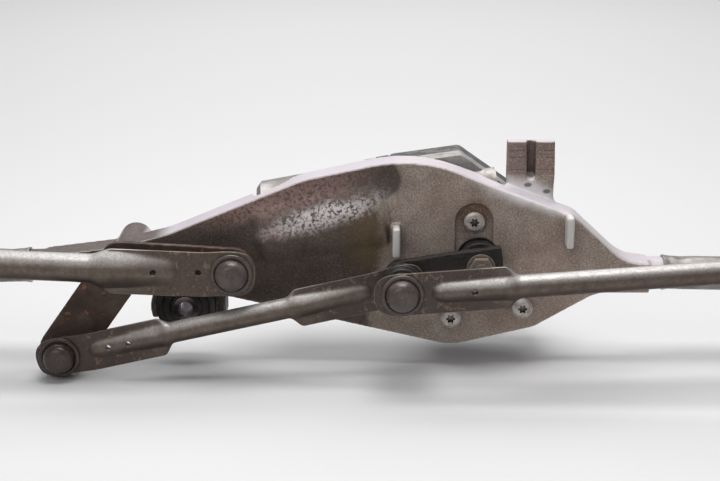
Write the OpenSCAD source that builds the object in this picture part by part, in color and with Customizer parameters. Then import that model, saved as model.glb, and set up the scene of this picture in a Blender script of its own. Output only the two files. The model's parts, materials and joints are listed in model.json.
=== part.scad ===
// Windscreen wiper linkage with one reversing gear motor and two opposed wiper spindles.
// Lengths are millimetres. The origin is the axis of the centre mount at the carrier's front face.
// X runs along the linkage, Y goes away from the rods towards the wiper arms, Z is up.

/* [Linkage pivots] */
// Motor output shaft, sideways from the centre mount
shaft_x = 173; // [168:0.5:178]
// Motor output shaft, height above the centre mount
shaft_z = 28.5; // [27:0.5:30]
// Crank length, output shaft to ball stud
crank_len = 46.6; // [45:0.2:48]
// Angle of the parked crank, seen from the front
crank_park = 187.6; // [185:0.2:190]
// Bellcrank pivot, sideways from the centre mount
pivot_x = -33; // [-38:0.5:-30]
// Bellcrank pivot, height above the centre mount
pivot_z = 32; // [31:0.5:34]
// Lower bellcrank arm, pivot to ball
low_arm_len = 66; // [60:0.5:72]
// Angle of the parked lower arm
low_arm_angle = 234.5; // [230:0.5:240]
// Upper bellcrank arm, pivot to ball
high_arm_len = 62.6; // [58:0.2:66]
// Angle of the parked upper arm
high_arm_angle = -3.4; // [-6:0.2:2]
// Left spindle, sideways from the centre mount
left_x = -376; // [-420:1:-340]
// Left spindle, height above the centre mount
left_z = 16; // [10:0.5:22]
// Left spindle lever, spindle to ball
left_lever_len = 40; // [36:0.5:46]
// Angle of the parked left lever
left_lever_angle = 46; // [40:0.5:52]
// Right spindle, sideways from the centre mount
right_x = 611; // [570:1:660]
// Right spindle, height above the centre mount
right_z = 11.5; // [6:0.5:16]
// Right spindle lever, spindle to ball
right_lever_len = 63; // [58:0.5:68]
// Angle of the parked right lever
right_lever_angle = 137.5; // [132:0.5:142]

/* [Stack in front of the carrier] */
// Back face of the crank in front of the carrier's face
crank_h = 8; // [8:0.2:9]
// Thickness of the crank
crank_t = 6; // [5:0.2:6.4]
// Back face of the bellcrank and of the left lever
lever_h = 10; // [9.5:0.1:10.5]
// Thickness of the bellcrank and of the levers
lever_t = 4; // [3:0.2:4.4]
// Middle of the balls that carry the two left rods
ball_h = 25; // [25:0.2:26]
// Middle of the balls that carry the right rod
high_ball_h = 45; // [45:0.2:47]
// Middle of the right lever's ball in front of the lever's back face
right_ball_rise = 15; // [14.5:0.1:16]

/* [Levers and crank] */
// Width of the bellcrank's upper arm and of the levers
arm_w = 23.5; // [21:0.5:26]
// Width of the bellcrank's lower arm
low_arm_w = 28; // [25:0.5:30]
// Radius of the crank's eye
crank_eye_r = 9.4; // [8.5:0.1:9.6]
// Width of the crank at the output shaft
crank_w = 21; // [19:0.5:22]
// Length of the crank beyond the output shaft
crank_tail = 13; // [11:0.5:14]
// Hexagon of the crank nut, across its flats
nut_flats = 13; // [12:0.5:14]
// Radius of the crank nut's flange
nut_flange_r = 8.3; // [8:0.1:9]

/* [Ball joints and rods] */
// Radius of the balls
ball_r = 8; // [7.5:0.1:8.2]
// Radius of the neck under a ball
neck_r = 4.4; // [4:0.1:4.8]
// Radius of the riveted shank of a ball stud
shank_r = 5; // [4.5:0.1:5.5]
// Radius of the collar of a ball stud
collar_r = 7.5; // [7:0.1:8]
// Radius of the plastic cap of a socket
cap_r = 10.2; // [9.9:0.1:10.6]
// Thickness of the flat rod ends
rod_plate_t = 2; // [1.6:0.1:2.2]
// Width of the flat rod ends
rod_plate_w = 23; // [22:0.5:26]
// Radius of the round rod ends
rod_end_r = 13.6; // [13:0.1:14.4]
// Length of the flat rod ends from their balls
rod_plate_len = 58; // [56:1:62]
// Distance from a ball to the end of the rod's bead
bead_start = 19; // [18:0.5:22]
// Outside radius of the left drive rod
left_drive_r = 6.1; // [5.6:0.1:6.6]
// Outside radius of the left link rod
left_link_r = 8.3; // [7.6:0.1:8.5]
// Outside radius of the right drive rod
right_drive_r = 6.6; // [6:0.1:7.2]
// Wall of the rolled rods
rod_wall = 1.5; // [1.2:0.1:2]
// Radius of the holes pierced in the rods
rod_hole_r = 1.5; // [1:0.1:2]

/* [Carrier] */
// Thickness of the carrier's plate
plate_t = 3.5; // [3:0.1:4]
// Depth of the skirt around the carrier
skirt_d = 20; // [18:0.5:21]
// Thickness of the skirt
skirt_wall = 3.2; // [2.6:0.1:3.6]
// Radius of the centre mount's rubber
centre_rubber_r = 17.4; // [16.5:0.1:18]
// Thickness of the fork round the centre mount
fork_wall = 3.5; // [3:0.1:4]
// Bore of the mounting sleeves, radius
sleeve_bore_r = 4.2; // [3.2:0.1:4.4]
// Wall of the mounting sleeves
sleeve_wall = 1.6; // [1.2:0.1:2]
// Radius of the bellcrank pivot's boss
pivot_boss_r = 10; // [9.6:0.2:11]
// Length of the pivot boss behind the carrier's face
pivot_boss_d = 38; // [32:1:42]
// Height of the crank stops
stop_h = 11; // [9.5:0.5:12]
// Thickness of the crank stops
stop_w = 4.5; // [4:0.1:5]
// Width of the fork lug on top
lug_w = 28; // [26:0.5:30]
// Thickness of the fork lug
lug_t = 9.5; // [8:0.5:9.5]
// Top of the fork lug above the output shaft
lug_top = 68.5; // [65:0.5:71]
// Width of the slot in the fork lug
lug_slot_w = 5.2; // [5:0.1:8]

/* [Frame tubes] */
// Outside radius of the frame tubes
tube_r = 10; // [9.5:0.1:10.5]
// Wall of the frame tubes
tube_wall = 1.5; // [1.2:0.1:2]
// Depth of the tube axes behind the carrier's face
tube_d = 13; // [12:0.5:14]
// Length of the spigots in the tubes
spigot_len = 30; // [24:1:36]

/* [Spindles] */
// Radius of the wiper spindles
spindle_r = 6; // [5.5:0.1:6.5]
// Radius of the bellcrank spindle
pivot_r = 5; // [4.6:0.1:5.4]
// Wall of the bearing bushes
bush_wall = 2.5; // [2:0.1:3]
// Length of the bearing bushes
bush_len = 12; // [10:0.5:14]
// Wall of the spindle housings around the bushes
barrel_wall = 4; // [3.5:0.1:4.5]
// Back of the spindle housings behind the carrier's face
barrel_d = 62; // [56:1:70]
// Thickness of the washers
washer_t = 1.2; // [1:0.1:1.4]
// Length of the spindle's cone for the wiper arm
cone_len = 14; // [12:0.5:16]
// Radius of the spindle's thread
thread_r = 4; // [3.5:0.1:4.5]
// Length of the spindle's thread
thread_len = 16; // [12:0.5:20]
// Radius of the rubber in the end mounts
end_rubber_r = 13; // [12:0.2:14]

/* [Gear motor] */
// Rise of the motor's axis to the right
motor_tilt = 10.7; // [9:0.1:12]
// Depth of the motor's axis behind the carrier's face
motor_d = 24; // [24:0.2:25]
// Teeth of the worm wheel
wheel_teeth = 66; // [64:1:66]
// Module of the worm wheel's teeth
tooth_module = 1; // [0.98:0.01:1]
// Pitch radius of the worm
worm_r = 5.1; // [5:0.1:5.4]
// Depth of the worm's thread on each side of its pitch radius
worm_depth = 0.9; // [0.7:0.05:1]
// Radius of the motor can
can_r = 26.5; // [25.5:0.1:27]
// Wall of the motor can
can_wall = 1.6; // [1.2:0.1:2]
// Length of the motor can
can_len = 67; // [64:1:70]
// Radius of the output shaft
output_r = 6; // [5.6:0.1:6.2]
// Radius of the screw shanks into the gearbox
screw_r = 2.9; // [2.5:0.1:3]
// Radius of the heads of those screws
screw_head_r = 6; // [5.5:0.1:6.5]
// Wall of the gearbox and its cover
box_wall = 3; // [2.4:0.1:3.2]
// Depth of the gearbox cover
cover_d = 16; // [14:0.5:20]

/* [Clearances] */
// Radial clearance of shafts that turn in bushes
run_gap = 0.05; // [0.03:0.01:0.08]
// Clearance between pieces that are assembled and don't turn
seat_gap = 0.05; // [0.03:0.01:0.1]
// Clearance of the balls in their sockets, and of faces that pass each other
free_gap = 0.3; // [0.25:0.05:0.4]
// Axial clearance beside a washer
end_gap = 0.15; // [0.1:0.05:0.2]

/* [Hidden] */
$fn = 48;
cut = 1;
blend = 0.4;

// Places are [sideways, height]; a height in front of the carrier's face is called h
function polar(centre, len, angle) = centre + len * [cos(angle), sin(angle)];
centre_mount = [0, 0];
shaft = [shaft_x, shaft_z];
pivot = [pivot_x, pivot_z];
left_pivot = [left_x, left_z];
right_pivot = [right_x, right_z];
crank_ball = polar(shaft, crank_len, crank_park);
low_ball = polar(pivot, low_arm_len, low_arm_angle);
high_ball = polar(pivot, high_arm_len, high_arm_angle);
left_ball = polar(left_pivot, left_lever_len, left_lever_angle);
right_ball = polar(right_pivot, right_lever_len, right_lever_angle);
lever_front = lever_h + lever_t;
right_lever_h = high_ball_h - right_ball_rise;
right_lever_front = right_lever_h + lever_t;
crank_front = crank_h + crank_t;
bellcrank_bend_r = 10;

// Shared pieces of the spindles
rivet_t = 2;
collar_t = 1.5;
tail_t = 1.5;
circlip_t = 1.2;
circlip_reach = 2.6;
groove_d = 0.7;
spindle_bore = spindle_r + bush_wall;
barrel_r = spindle_bore + barrel_wall;
pivot_bore = pivot_r + bush_wall;
cone_drop = 1;
cone_start = barrel_d + 10;
stack_gap = washer_t + 2 * end_gap;

// Sockets around the balls, measured from the middle of the ball
socket_r = ball_r + free_gap + 2.5;
socket_back = 7;
socket_flange_r = cap_r + 1.7;
socket_flange_t = 1.6;
cap_side = 5.5;
cap_top = ball_r + free_gap + 2;
mouth_r = neck_r + 2;
rod_shoulder = 12;
rod_seam_w = 0.8;

// Carrier and its necks
neck_half = 9;
left_neck = [pivot[0] - 51, pivot[1] - 9.5];
right_neck = [shaft[0] + 101, shaft[1] - 10.7];
collar_len = 9;
tube_bore = tube_r - tube_wall;
spigot_r = tube_bore - seat_gap;
neck_collar_r = tube_r - 0.6;
barrel_reach = barrel_r + 12;
fork_r = centre_rubber_r + 2 * seat_gap;
fork_low = -6.5;
prong_w = 6;
// Corners of the carrier's edge [sideways, height, fillet radius], run anticlockwise
carrier_edge = [
    [left_neck[0], left_neck[1] - 5.5, 0],
    [pivot[0] + 9, left_neck[1] - neck_half - 2, 6],
    [centre_mount[0] + 23, centre_mount[1] + 7, 4],
    [shaft[0] - 16, shaft[1] - 52.5, 30],
    [shaft[0] + 33, shaft[1] - 41, 12],
    [shaft[0] + 70, right_neck[1] - neck_half, 25],
    [right_neck[0], right_neck[1] - neck_half, 0],
    [right_neck[0], right_neck[1] + neck_half, 0],
    [shaft[0] + 85, right_neck[1] + neck_half + 2, 25],
    [shaft[0] + 56, shaft[1] + 27.5, 14],
    [shaft[0] - 38, shaft[1] + 62.6, 90],
    [shaft[0] - 103, shaft[1] + 48.7, 60],
    [pivot[0] + 23, pivot[1] + 12.5, 60],
    [pivot[0] - 7, pivot[1] + 5, 40],
    [left_neck[0], left_neck[1] + neck_half, 0]];

// Screws from the carrier into the gearbox; the first sits in a pocket
carrier_screws_at = [shaft + [-3.3, 23.6], shaft + [-16.4, -34.6], shaft + [26, -28.6]];
screw_head_t = 4;
pocket_r = 11;
pocket_d = 2.5;
screw_boss_r = 7.5;
box_front = 8;
pad_t = 0.5;
shaft_hole_r = 13;
box_neck_r = 11.5;
box_neck_h = 5;
seal_t = 1.5;

// Gear motor; s runs along its axis from the point over the wheel, n away from the output shaft
worm_pitch = PI * tooth_module;
worm_len = 24;
worm_tip_gap = 1;
wheel_r = wheel_teeth * tooth_module / 2;
wheel_tip_r = wheel_r + 0.4 * tooth_module;
wheel_root_r = wheel_r - 1.6 * tooth_module;
wheel_t = 12;
gear_centres = wheel_tip_r + worm_r + worm_depth - worm_tip_gap;
wheel_room_r = wheel_tip_r + 2;
box_r = wheel_room_r + box_wall + 1;
box_back = motor_d + wheel_t;
armature_r = 4;
tunnel_r = worm_r + worm_depth + 1.2;
tunnel_wall = 2.6;
can_end = -55;
can_start = can_end - can_len;
can_inner = can_r - can_wall;
nub_r = armature_r + bush_wall + can_wall;
nub_len = 5;
flange_t = 4;
flange_r = can_r + 1;
ear_r = 5;
ear_at = can_r + 4.5;
ear_angle = 35;
throat_r = 18.5;
throat_len = 11;
bulge_start = can_start - 5;
can_chamfer = 3;
bulge_end = can_end + 8;
bulge_wall = 3;
bulge_low_r = can_r + 3.3;
bulge_high_r = can_r + 4.2;
bulge_chamfer = 4;
// Corners of the gearbox in s and n, with fillet radii
box_top = 23;
box_left = 43;
box_right = 40;
box_low = -79;
box_edge = [[-box_left, box_low + 10, 10], [-24, box_low, 10], [24, box_low, 10], [box_right, box_low + 10, 10],
    [box_right, -18, 12], [27, -6, 8], [1, box_top - 2, 5], [-box_left, box_top, 4]];
rim_start = can_end + flange_t + 1;
rim_w = 4.5;
box_upper_front = skirt_d + 3;
cover_screws_at = [[-37, 16], [-3, 13], [34, -65], [-36, -65]];
cover_screw_r = 1.9;
connector_at = [4, -36];
connector_w = [26, 14];
connector_wall = 1.6;
connector_len = 20;
plug_depth = 9;
pin_w = 1.2;
pin_step = 5;
board_t = 1.6;
board_h = box_back + 6;
core_r = can_inner - 6;
core_start = can_start + 14;
winding_len = 6;
brush_plate_at = can_end - 4.5;
commutator_start = brush_plate_at - 11;
core_len = commutator_start - core_start - winding_len - 3.5;
magnet_t = 4;
commutator_r = 9;

// Fork lug on the carrier's top
lug_at = shaft[0] + 30.4;
lug_front = 13;
lug_back_t = 2;
lug_low = 31;
lug_slot_low = shaft[1] + 48.7;
lug_steps = [51.5, 58.5, 62.5];
lug_step_d = 0.8;

function unit(v) = v / norm(v);
function corner(pts, i) = let (p = pts[(i + len(pts)) % len(pts)]) [p[0], p[1]];
function inward(a, b) = let (t = unit(b - a)) [-t[1], t[0]];
function fillet(a, b, c, r, steps = 6) =
    let (u = unit(a - b), v = unit(c - b), half = acos(u * v) / 2)
    let (middle = b + unit(u + v) * r / sin(half))
    let (p = b + u * r / tan(half) - middle, q = b + v * r / tan(half) - middle)
    let (from = atan2(p[1], p[0]), turn = (atan2(q[1], q[0]) - from + 540) % 360 - 180)
    [for (i = [0:steps]) polar(middle, r, from + turn * i / steps)];
function rounded(pts) = [for (i = [0:len(pts) - 1])
    each pts[i][2] == 0 ? [corner(pts, i)]
        : fillet(corner(pts, i - 1), corner(pts, i), corner(pts, i + 1), pts[i][2])];
// The same corners moved in by d, with their fillets kept parallel
function inset(pts, d) = [for (i = [0:len(pts) - 1])
    let (a = corner(pts, i - 1), b = corner(pts, i), c = corner(pts, i + 1), r = pts[i][2])
    let (m = inward(a, b), k = inward(b, c), p = b + d * (m + k) / (1 + m * k))
    [p[0], p[1], r == 0 ? 0 : max(0.5, r - sign(cross(b - a, c - b)) * d)]];
// Corners of a bar from a through b to c, w_a and w_c wide on its arms, with round ends and a filleted bend
function bent_bar(a, b, c, w_a, w_c, bend_r) =
    let (u = unit(b - a) * w_a / 2, v = unit(c - b) * w_c / 2, m = inward(a, b), k = inward(b, c), d = m * k)
    let (mitre = ((w_a - d * w_c) * m + (w_c - d * w_a) * k) / (2 * (1 - d * d)))
    let (p = m * w_a / 2, q = k * w_c / 2, a_r = w_a / 2 - blend, c_r = w_c / 2 - blend)
    [for (e = [[a - u - p, a_r], [b - mitre, bend_r], [c + v - q, c_r],
        [c + v + q, c_r], [b + mitre, bend_r], [a - u + p, a_r]]) [e[0][0], e[0][1], e[1]]];
function straight_bar(a, c, w) =
    let (u = unit(c - a) * w / 2, m = inward(a, c) * w / 2, end_r = w / 2 - blend)
    [for (p = [a - u - m, c + u - m, c + u + m, a - u + m]) [p[0], p[1], end_r]];

// Frames: the face-on frame has the linkage's plane as XY and h towards the viewer
module face_on() { rotate([90, 0, 0]) children(); }
module at(p, h = 0) { translate([p[0], p[1], h]) children(); }
module towards(p, q, h) {
    at(p, h) rotate([0, 0, atan2(q[1] - p[1], q[0] - p[0])]) children();
}
module gear_frame() { at(shaft) rotate([0, 0, motor_tilt]) translate([0, gear_centres, 0]) children(); }
module motor_axis(s = 0) {
    gear_frame() translate([s, 0, -motor_d]) rotate([0, 90, 0]) children();
}

// Simple turned and stamped shapes
module disc(p, r, low, high) { at(p, low) cylinder(r = r, h = high - low); }
module ring(p, r_out, r_in, low, high) {
    difference() {
        disc(p, r_out, low, high);
        disc(p, r_in, low - cut, high + cut);
    }
}
module tube(r_out, r_in, len) {
    difference() {
        cylinder(r = r_out, h = len);
        translate([0, 0, -cut]) cylinder(r = r_in, h = len + 2 * cut);
    }
}
module bar(corners, low, high) { at([0, 0], low) linear_extrude(high - low) polygon(rounded(corners)); }
module circlip(p, r, low) {
    difference() {
        ring(p, r + circlip_reach, r - groove_d + seat_gap, low, low + circlip_t);
        towards(p, p - [0, 1], low - cut)
            translate([0, -r / 2, 0]) cube([2 * r + circlip_reach, r, circlip_t + 2 * cut]);
    }
}

// Rivet head, shank, collar, neck and ball in one turned piece, riveted into a plate
module ball_stud(p, low, high, middle) {
    disc(p, collar_r - 1, low - tail_t, low);
    disc(p, shank_r, low - tail_t, high + collar_t);
    disc(p, collar_r, high, high + collar_t);
    disc(p, neck_r, high, middle);
    at(p, middle) sphere(r = ball_r);
}
// The same stud where the linkage is opened: it ends at its collar, just clear of the lever
module open_stud(p, high, middle) {
    disc(p, collar_r, high + free_gap, high + free_gap + collar_t);
    disc(p, neck_r, high + free_gap, middle);
    at(p, middle) sphere(r = ball_r);
}
module socket(p, middle, through) {
    plate_front = rod_plate_t / 2 + seat_gap;
    front = through ? ball_r - 1.5 : cap_top;
    at(p, middle) difference() {
        rotate_extrude() polygon(concat(
            [[0, -socket_back], [socket_r, -socket_back], [socket_r, plate_front], [socket_flange_r, plate_front],
                [socket_flange_r, plate_front + socket_flange_t]],
            through ? [[socket_r, plate_front + socket_flange_t], [socket_r, front], [0, front]]
                : [[cap_r, plate_front + socket_flange_t], [cap_r, cap_side], [cap_r - 1, cap_top - 2.5],
                    [cap_r - 3.5, cap_top - 0.4], [cap_r - 7, cap_top], [2, cap_top], [0, cap_top - 1.2]]));
        sphere(r = ball_r + free_gap);
        translate([0, 0, through ? -2 * ball_r : -socket_back - cut])
            cylinder(r = mouth_r, h = through ? 4 * ball_r : socket_back);
    }
}

// One flat end of a rolled rod: plate, socket hole, bead and the shoulder up to the round part
module rod_end(r, holes) {
    difference() {
        union() {
            translate([0, 0, -rod_plate_t / 2]) linear_extrude(rod_plate_t) {
                circle(r = rod_end_r);
                translate([0, -rod_plate_w / 2]) square([rod_plate_len, rod_plate_w]);
            }
            intersection() {
                translate([bead_start + r, 0, 0]) {
                    sphere(r = r - 0.4);
                    rotate([0, 90, 0]) cylinder(r = r - 0.4, h = rod_plate_len - bead_start - r);
                }
                translate([0, -rod_plate_w, 0]) cube([rod_plate_len, 2 * rod_plate_w, 2 * r]);
            }
            hull() {
                translate([rod_plate_len - 2, -rod_plate_w / 2 + 0.5, -rod_plate_t / 2 + 0.1])
                    cube([1, rod_plate_w - 1, rod_plate_t - 0.2]);
                translate([rod_plate_len + rod_shoulder, 0, 0])
                    rotate([0, 90, 0]) cylinder(r = r - 0.2, h = 1, $fn = 32);
            }
        }
        translate([0, 0, -ball_r]) cylinder(r = socket_r + seat_gap, h = 2 * ball_r);
        for (x = holes)
            translate([x, 0, -2 * r]) cylinder(r = rod_hole_r, h = 4 * r);
    }
}
module rod(p, q, middle, r, p_holes, q_holes) {
    len = norm(q - p);
    round_from = rod_plate_len + rod_shoulder - 2;
    towards(p, q, middle) {
        difference() {
            union() {
                rod_end(r, p_holes);
                translate([len, 0, 0]) mirror([1, 0, 0]) rod_end(r, q_holes);
                translate([round_from, 0, 0]) rotate([0, 90, 0]) cylinder(r = r, h = len - 2 * round_from);
            }
            translate([round_from + 4, 0, 0]) rotate([0, 90, 0])
                cylinder(r = r - rod_wall, h = len - 2 * round_from - 8);
            translate([round_from + 4, -rod_seam_w / 2, -r - cut])
                cube([len - 2 * round_from - 8, rod_seam_w, r + cut]);
        }
    }
}

// Carrier
module bulge(inner) {
    low_r = bulge_low_r - inner;
    high_r = bulge_high_r - inner;
    run = bulge_end - bulge_start - 2 * bulge_chamfer;
    motor_axis(bulge_start + inner) cylinder(r1 = low_r - bulge_chamfer, r2 = low_r, h = bulge_chamfer);
    motor_axis(bulge_start + inner + bulge_chamfer) cylinder(r1 = low_r, r2 = high_r, h = run - 2 * inner);
    motor_axis(bulge_end - inner - bulge_chamfer)
        cylinder(r1 = high_r, r2 = high_r - bulge_chamfer, h = bulge_chamfer);
}
module carrier_tray() {
    at(centre_mount, -skirt_d) linear_extrude(skirt_d) polygon(rounded(carrier_edge));
}
module carrier_hollow() {
    difference() {
        at(centre_mount, -skirt_d - cut) linear_extrude(skirt_d - plate_t + cut)
            polygon(rounded(inset(carrier_edge, skirt_wall)));
        disc(centre_mount, fork_r + fork_wall, -2 * skirt_d, 0);
        for (p = carrier_screws_at)
            disc(p, screw_boss_r, -box_front, 0);
        disc(carrier_screws_at[0], pocket_r + 2, -box_front, 0);
    }
}
module neck(p, q) {
    towards(p, q, -tube_d) rotate([0, 90, 0]) {
        translate([0, 0, -skirt_wall]) cylinder(r = neck_collar_r, h = skirt_wall + collar_len);
        cylinder(r = spigot_r, h = collar_len + spigot_len);
    }
}
module crank_stop(x, low, high) {
    translate([x, low, -plate_t / 2]) cube([stop_w, high - low, stop_h + plate_t / 2]);
}
module fork_lug() {
    difference() {
        translate([lug_at - lug_w / 2, shaft[1] + lug_low, -lug_front - lug_t])
            cube([lug_w, lug_top - lug_low, lug_t]);
        translate([lug_at - lug_slot_w / 2, lug_slot_low, -lug_front - lug_t + lug_back_t])
            cube([lug_slot_w, lug_top, 2 * lug_t]);
        disc([lug_at, lug_slot_low], lug_slot_w / 2, -lug_front - lug_t + lug_back_t, 0);
        disc(shaft, box_r + free_gap, -lug_front - 2 * lug_t, 0);
        for (i = [0:len(lug_steps) - 1])
            translate([lug_at - lug_w, shaft[1] + lug_steps[i], -lug_front - (i + 1) * lug_step_d])
                cube([2 * lug_w, lug_top, lug_t]);
    }
}
module motor_carrier() {
    color("gray") face_on() difference() {
        union() {
            difference() {
                carrier_tray();
                carrier_hollow();
            }
            difference() {
                disc(centre_mount, fork_r + fork_wall, -skirt_d, 0);
                translate([-2 * fork_r, fork_low - 2 * fork_r, -2 * skirt_d])
                    cube([4 * fork_r, 2 * fork_r, 3 * skirt_d]);
            }
            translate([fork_r, fork_low, -skirt_d]) cube([prong_w, centre_rubber_r, skirt_d]);
            intersection() {
                bulge(0);
                translate([pivot[0], 0, -plate_t]) cube([shaft[0] - pivot[0], 2 * shaft[0], 2 * bulge_high_r]);
            }
            disc(pivot, pivot_boss_r, -pivot_boss_d, lever_h - stack_gap);
            crank_stop(crank_ball[0] - 5, crank_ball[1] + crank_eye_r + 1.2, shaft[1] + 22.5);
            crank_stop(shaft[0] + 49.5, shaft[1] + 10.2, shaft[1] + 29);
            fork_lug();
            neck(left_neck, left_pivot);
            neck(right_neck, right_pivot);
        }
        disc(centre_mount, fork_r, -2 * skirt_d, skirt_d);
        bulge(bulge_wall);
        disc(pivot, pivot_bore + seat_gap, -2 * pivot_boss_d, pivot_boss_d);
        disc(shaft, shaft_hole_r, -2 * skirt_d, skirt_d);
        disc(carrier_screws_at[0], pocket_r, -pocket_d, skirt_d);
        translate([carrier_screws_at[0][0] - pocket_r, shaft[1], -pocket_d])
            cube([2 * pocket_r, carrier_screws_at[0][1] - shaft[1], skirt_d]);
        for (p = carrier_screws_at)
            disc(p, screw_r + seat_gap, -2 * skirt_d, skirt_d);
        motor_axis(can_end) cylinder(r = tunnel_r + tunnel_wall + free_gap, h = -can_end + worm_len);
        intersection() {
            motor_axis(can_end - cut) cylinder(r = flange_r + free_gap, h = flange_t + 2 * cut);
            at(centre_mount, -skirt_d - cut) cube([2 * shaft[0], 2 * shaft[0], skirt_d - plate_t + cut]);
        }
    }
}

// Frame tubes and spindle housings
module frame_tube(neck_point, pivot_point) {
    len = norm(pivot_point - neck_point) - collar_len - barrel_reach - 2 * seat_gap;
    towards(neck_point, pivot_point, -tube_d) translate([collar_len + seat_gap, 0, 0])
        rotate([0, 90, 0]) tube(tube_r, tube_bore, len);
}
module left_frame_tube() { color("silver") face_on() frame_tube(left_neck, left_pivot); }
module right_frame_tube() { color("silver") face_on() frame_tube(right_neck, right_pivot); }

ear_reach = barrel_r + end_rubber_r + 10;
ear_rise = 8;
ear_wall = 3.5;
ear_front = 5;
ear_d = 18;
function ear_place(p, side) = p + [side * ear_reach, ear_rise];
module spindle_housing(p, neck_point, front, side) {
    eye = ear_place(p, side);
    difference() {
        union() {
            disc(p, barrel_r, -barrel_d, front);
            towards(p, neck_point, -tube_d) rotate([0, 90, 0]) {
                cylinder(r = neck_collar_r, h = barrel_reach);
                cylinder(r = spigot_r, h = barrel_reach + spigot_len);
            }
            disc(eye, end_rubber_r + 2 * seat_gap + ear_wall, -ear_front - ear_d, -ear_front);
            towards(p, eye, -ear_front - ear_d + 3)
                translate([0, -end_rubber_r + 3, 0]) cube([ear_reach, 2 * end_rubber_r - 6, ear_d - 6]);
        }
        disc(p, spindle_bore + seat_gap, -2 * barrel_d, 2 * barrel_d);
        disc(eye, end_rubber_r + 2 * seat_gap, -2 * barrel_d, barrel_d);
    }
}
module left_spindle_housing() {
    color("gray") face_on() spindle_housing(left_pivot, left_neck, lever_h - stack_gap, -1);
}
module right_spindle_housing() {
    color("gray") face_on() spindle_housing(right_pivot, right_neck, right_lever_h - stack_gap, 1);
}
module bushes(p, r, back, front) {
    ring(p, r + bush_wall, r + run_gap, -back, -back + bush_len);
    ring(p, r + bush_wall, r + run_gap, front - bush_len, front);
}
module left_spindle_bushes() {
    color("goldenrod") face_on() bushes(left_pivot, spindle_r, barrel_d, lever_h - stack_gap);
}
module right_spindle_bushes() {
    color("goldenrod") face_on() bushes(right_pivot, spindle_r, barrel_d, right_lever_h - stack_gap);
}
module bellcrank_bushes() {
    color("goldenrod") face_on() bushes(pivot, pivot_r, pivot_boss_d, lever_h - stack_gap);
}

// Mounting grommets and their sleeves
sleeve_r = sleeve_bore_r + sleeve_wall;
lip_t = 2;
lip_w = 2.4;
module grommet(p, r, back, front) {
    difference() {
        union() {
            disc(p, r, -back - lip_t, -front + lip_t);
            disc(p, r + lip_w, -back - seat_gap - lip_t, -back - seat_gap);
            disc(p, r + lip_w, -front + seat_gap, -front + seat_gap + lip_t);
        }
        disc(p, sleeve_r + seat_gap, -2 * back - lip_t, back);
    }
}
module sleeve(p, back, front) {
    difference() {
        union() {
            disc(p, sleeve_r, -back - lip_t - 1, -front + lip_t + 1.5);
            disc(p, sleeve_r + 1.5, -front + lip_t + 2 * seat_gap, -front + lip_t + 1.5);
        }
        disc(p, sleeve_bore_r, -2 * back - lip_t, back);
    }
}
module centre_grommet() {
    color("black") face_on() difference() {
        disc(centre_mount, centre_rubber_r, -skirt_d - lip_t, lip_t);
        disc(centre_mount, sleeve_r + seat_gap, -2 * skirt_d, skirt_d);
    }
}
module centre_sleeve() { color("silver") face_on() sleeve(centre_mount, skirt_d, 0); }
module left_grommet() {
    color("black") face_on() grommet(ear_place(left_pivot, -1), end_rubber_r, ear_front + ear_d, ear_front);
}
module left_sleeve() {
    color("silver") face_on() sleeve(ear_place(left_pivot, -1), ear_front + ear_d, ear_front);
}
module right_grommet() {
    color("black") face_on() grommet(ear_place(right_pivot, 1), end_rubber_r, ear_front + ear_d, ear_front);
}
module right_sleeve() {
    color("silver") face_on() sleeve(ear_place(right_pivot, 1), ear_front + ear_d, ear_front);
}

// Gear motor
module can_ears(len) {
    for (side = [-1, 1])
        rotate([0, 0, side * ear_angle]) translate([ear_at, 0, 0]) {
            cylinder(r = ear_r, h = len);
            translate([-ear_r, blend - ear_r, 0]) cube([ear_r, 2 * (ear_r - blend), len]);
        }
}
module ear_holes(r, len) {
    for (side = [-1, 1])
        rotate([0, 0, side * ear_angle]) translate([ear_at, 0, -len]) cylinder(r = r, h = 2 * len);
}
module motor_can() {
    color("silver") face_on() difference() {
        union() {
            motor_axis(can_start) cylinder(r1 = can_r - can_chamfer, r2 = can_r, h = can_chamfer);
            motor_axis(can_start + can_chamfer) cylinder(r = can_r, h = can_len - can_chamfer);
            motor_axis(can_start - nub_len) cylinder(r = nub_r, h = nub_len + can_wall);
            motor_axis(can_end - flange_t / 2) can_ears(flange_t / 2);
        }
        motor_axis(can_start + can_chamfer) cylinder(r = can_inner, h = can_len);
        motor_axis(can_start - nub_len + can_wall)
            cylinder(r = armature_r + bush_wall + seat_gap, h = nub_len + can_wall);
        motor_axis(can_end) ear_holes(cover_screw_r + seat_gap, 2 * flange_t);
    }
}
module motor_magnets() {
    color("dimgray") face_on() motor_axis(core_start - 4) difference() {
        tube(can_inner - seat_gap, can_inner - magnet_t, core_len + 8);
        translate([-can_r, -magnet_t, -cut]) cube([2 * can_r, 2 * magnet_t, can_len]);
    }
}
module box_solid(front, back, inset_by) {
    gear_frame() translate([0, 0, -back]) linear_extrude(back - front)
        polygon(rounded(inset(box_edge, inset_by)));
}
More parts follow.
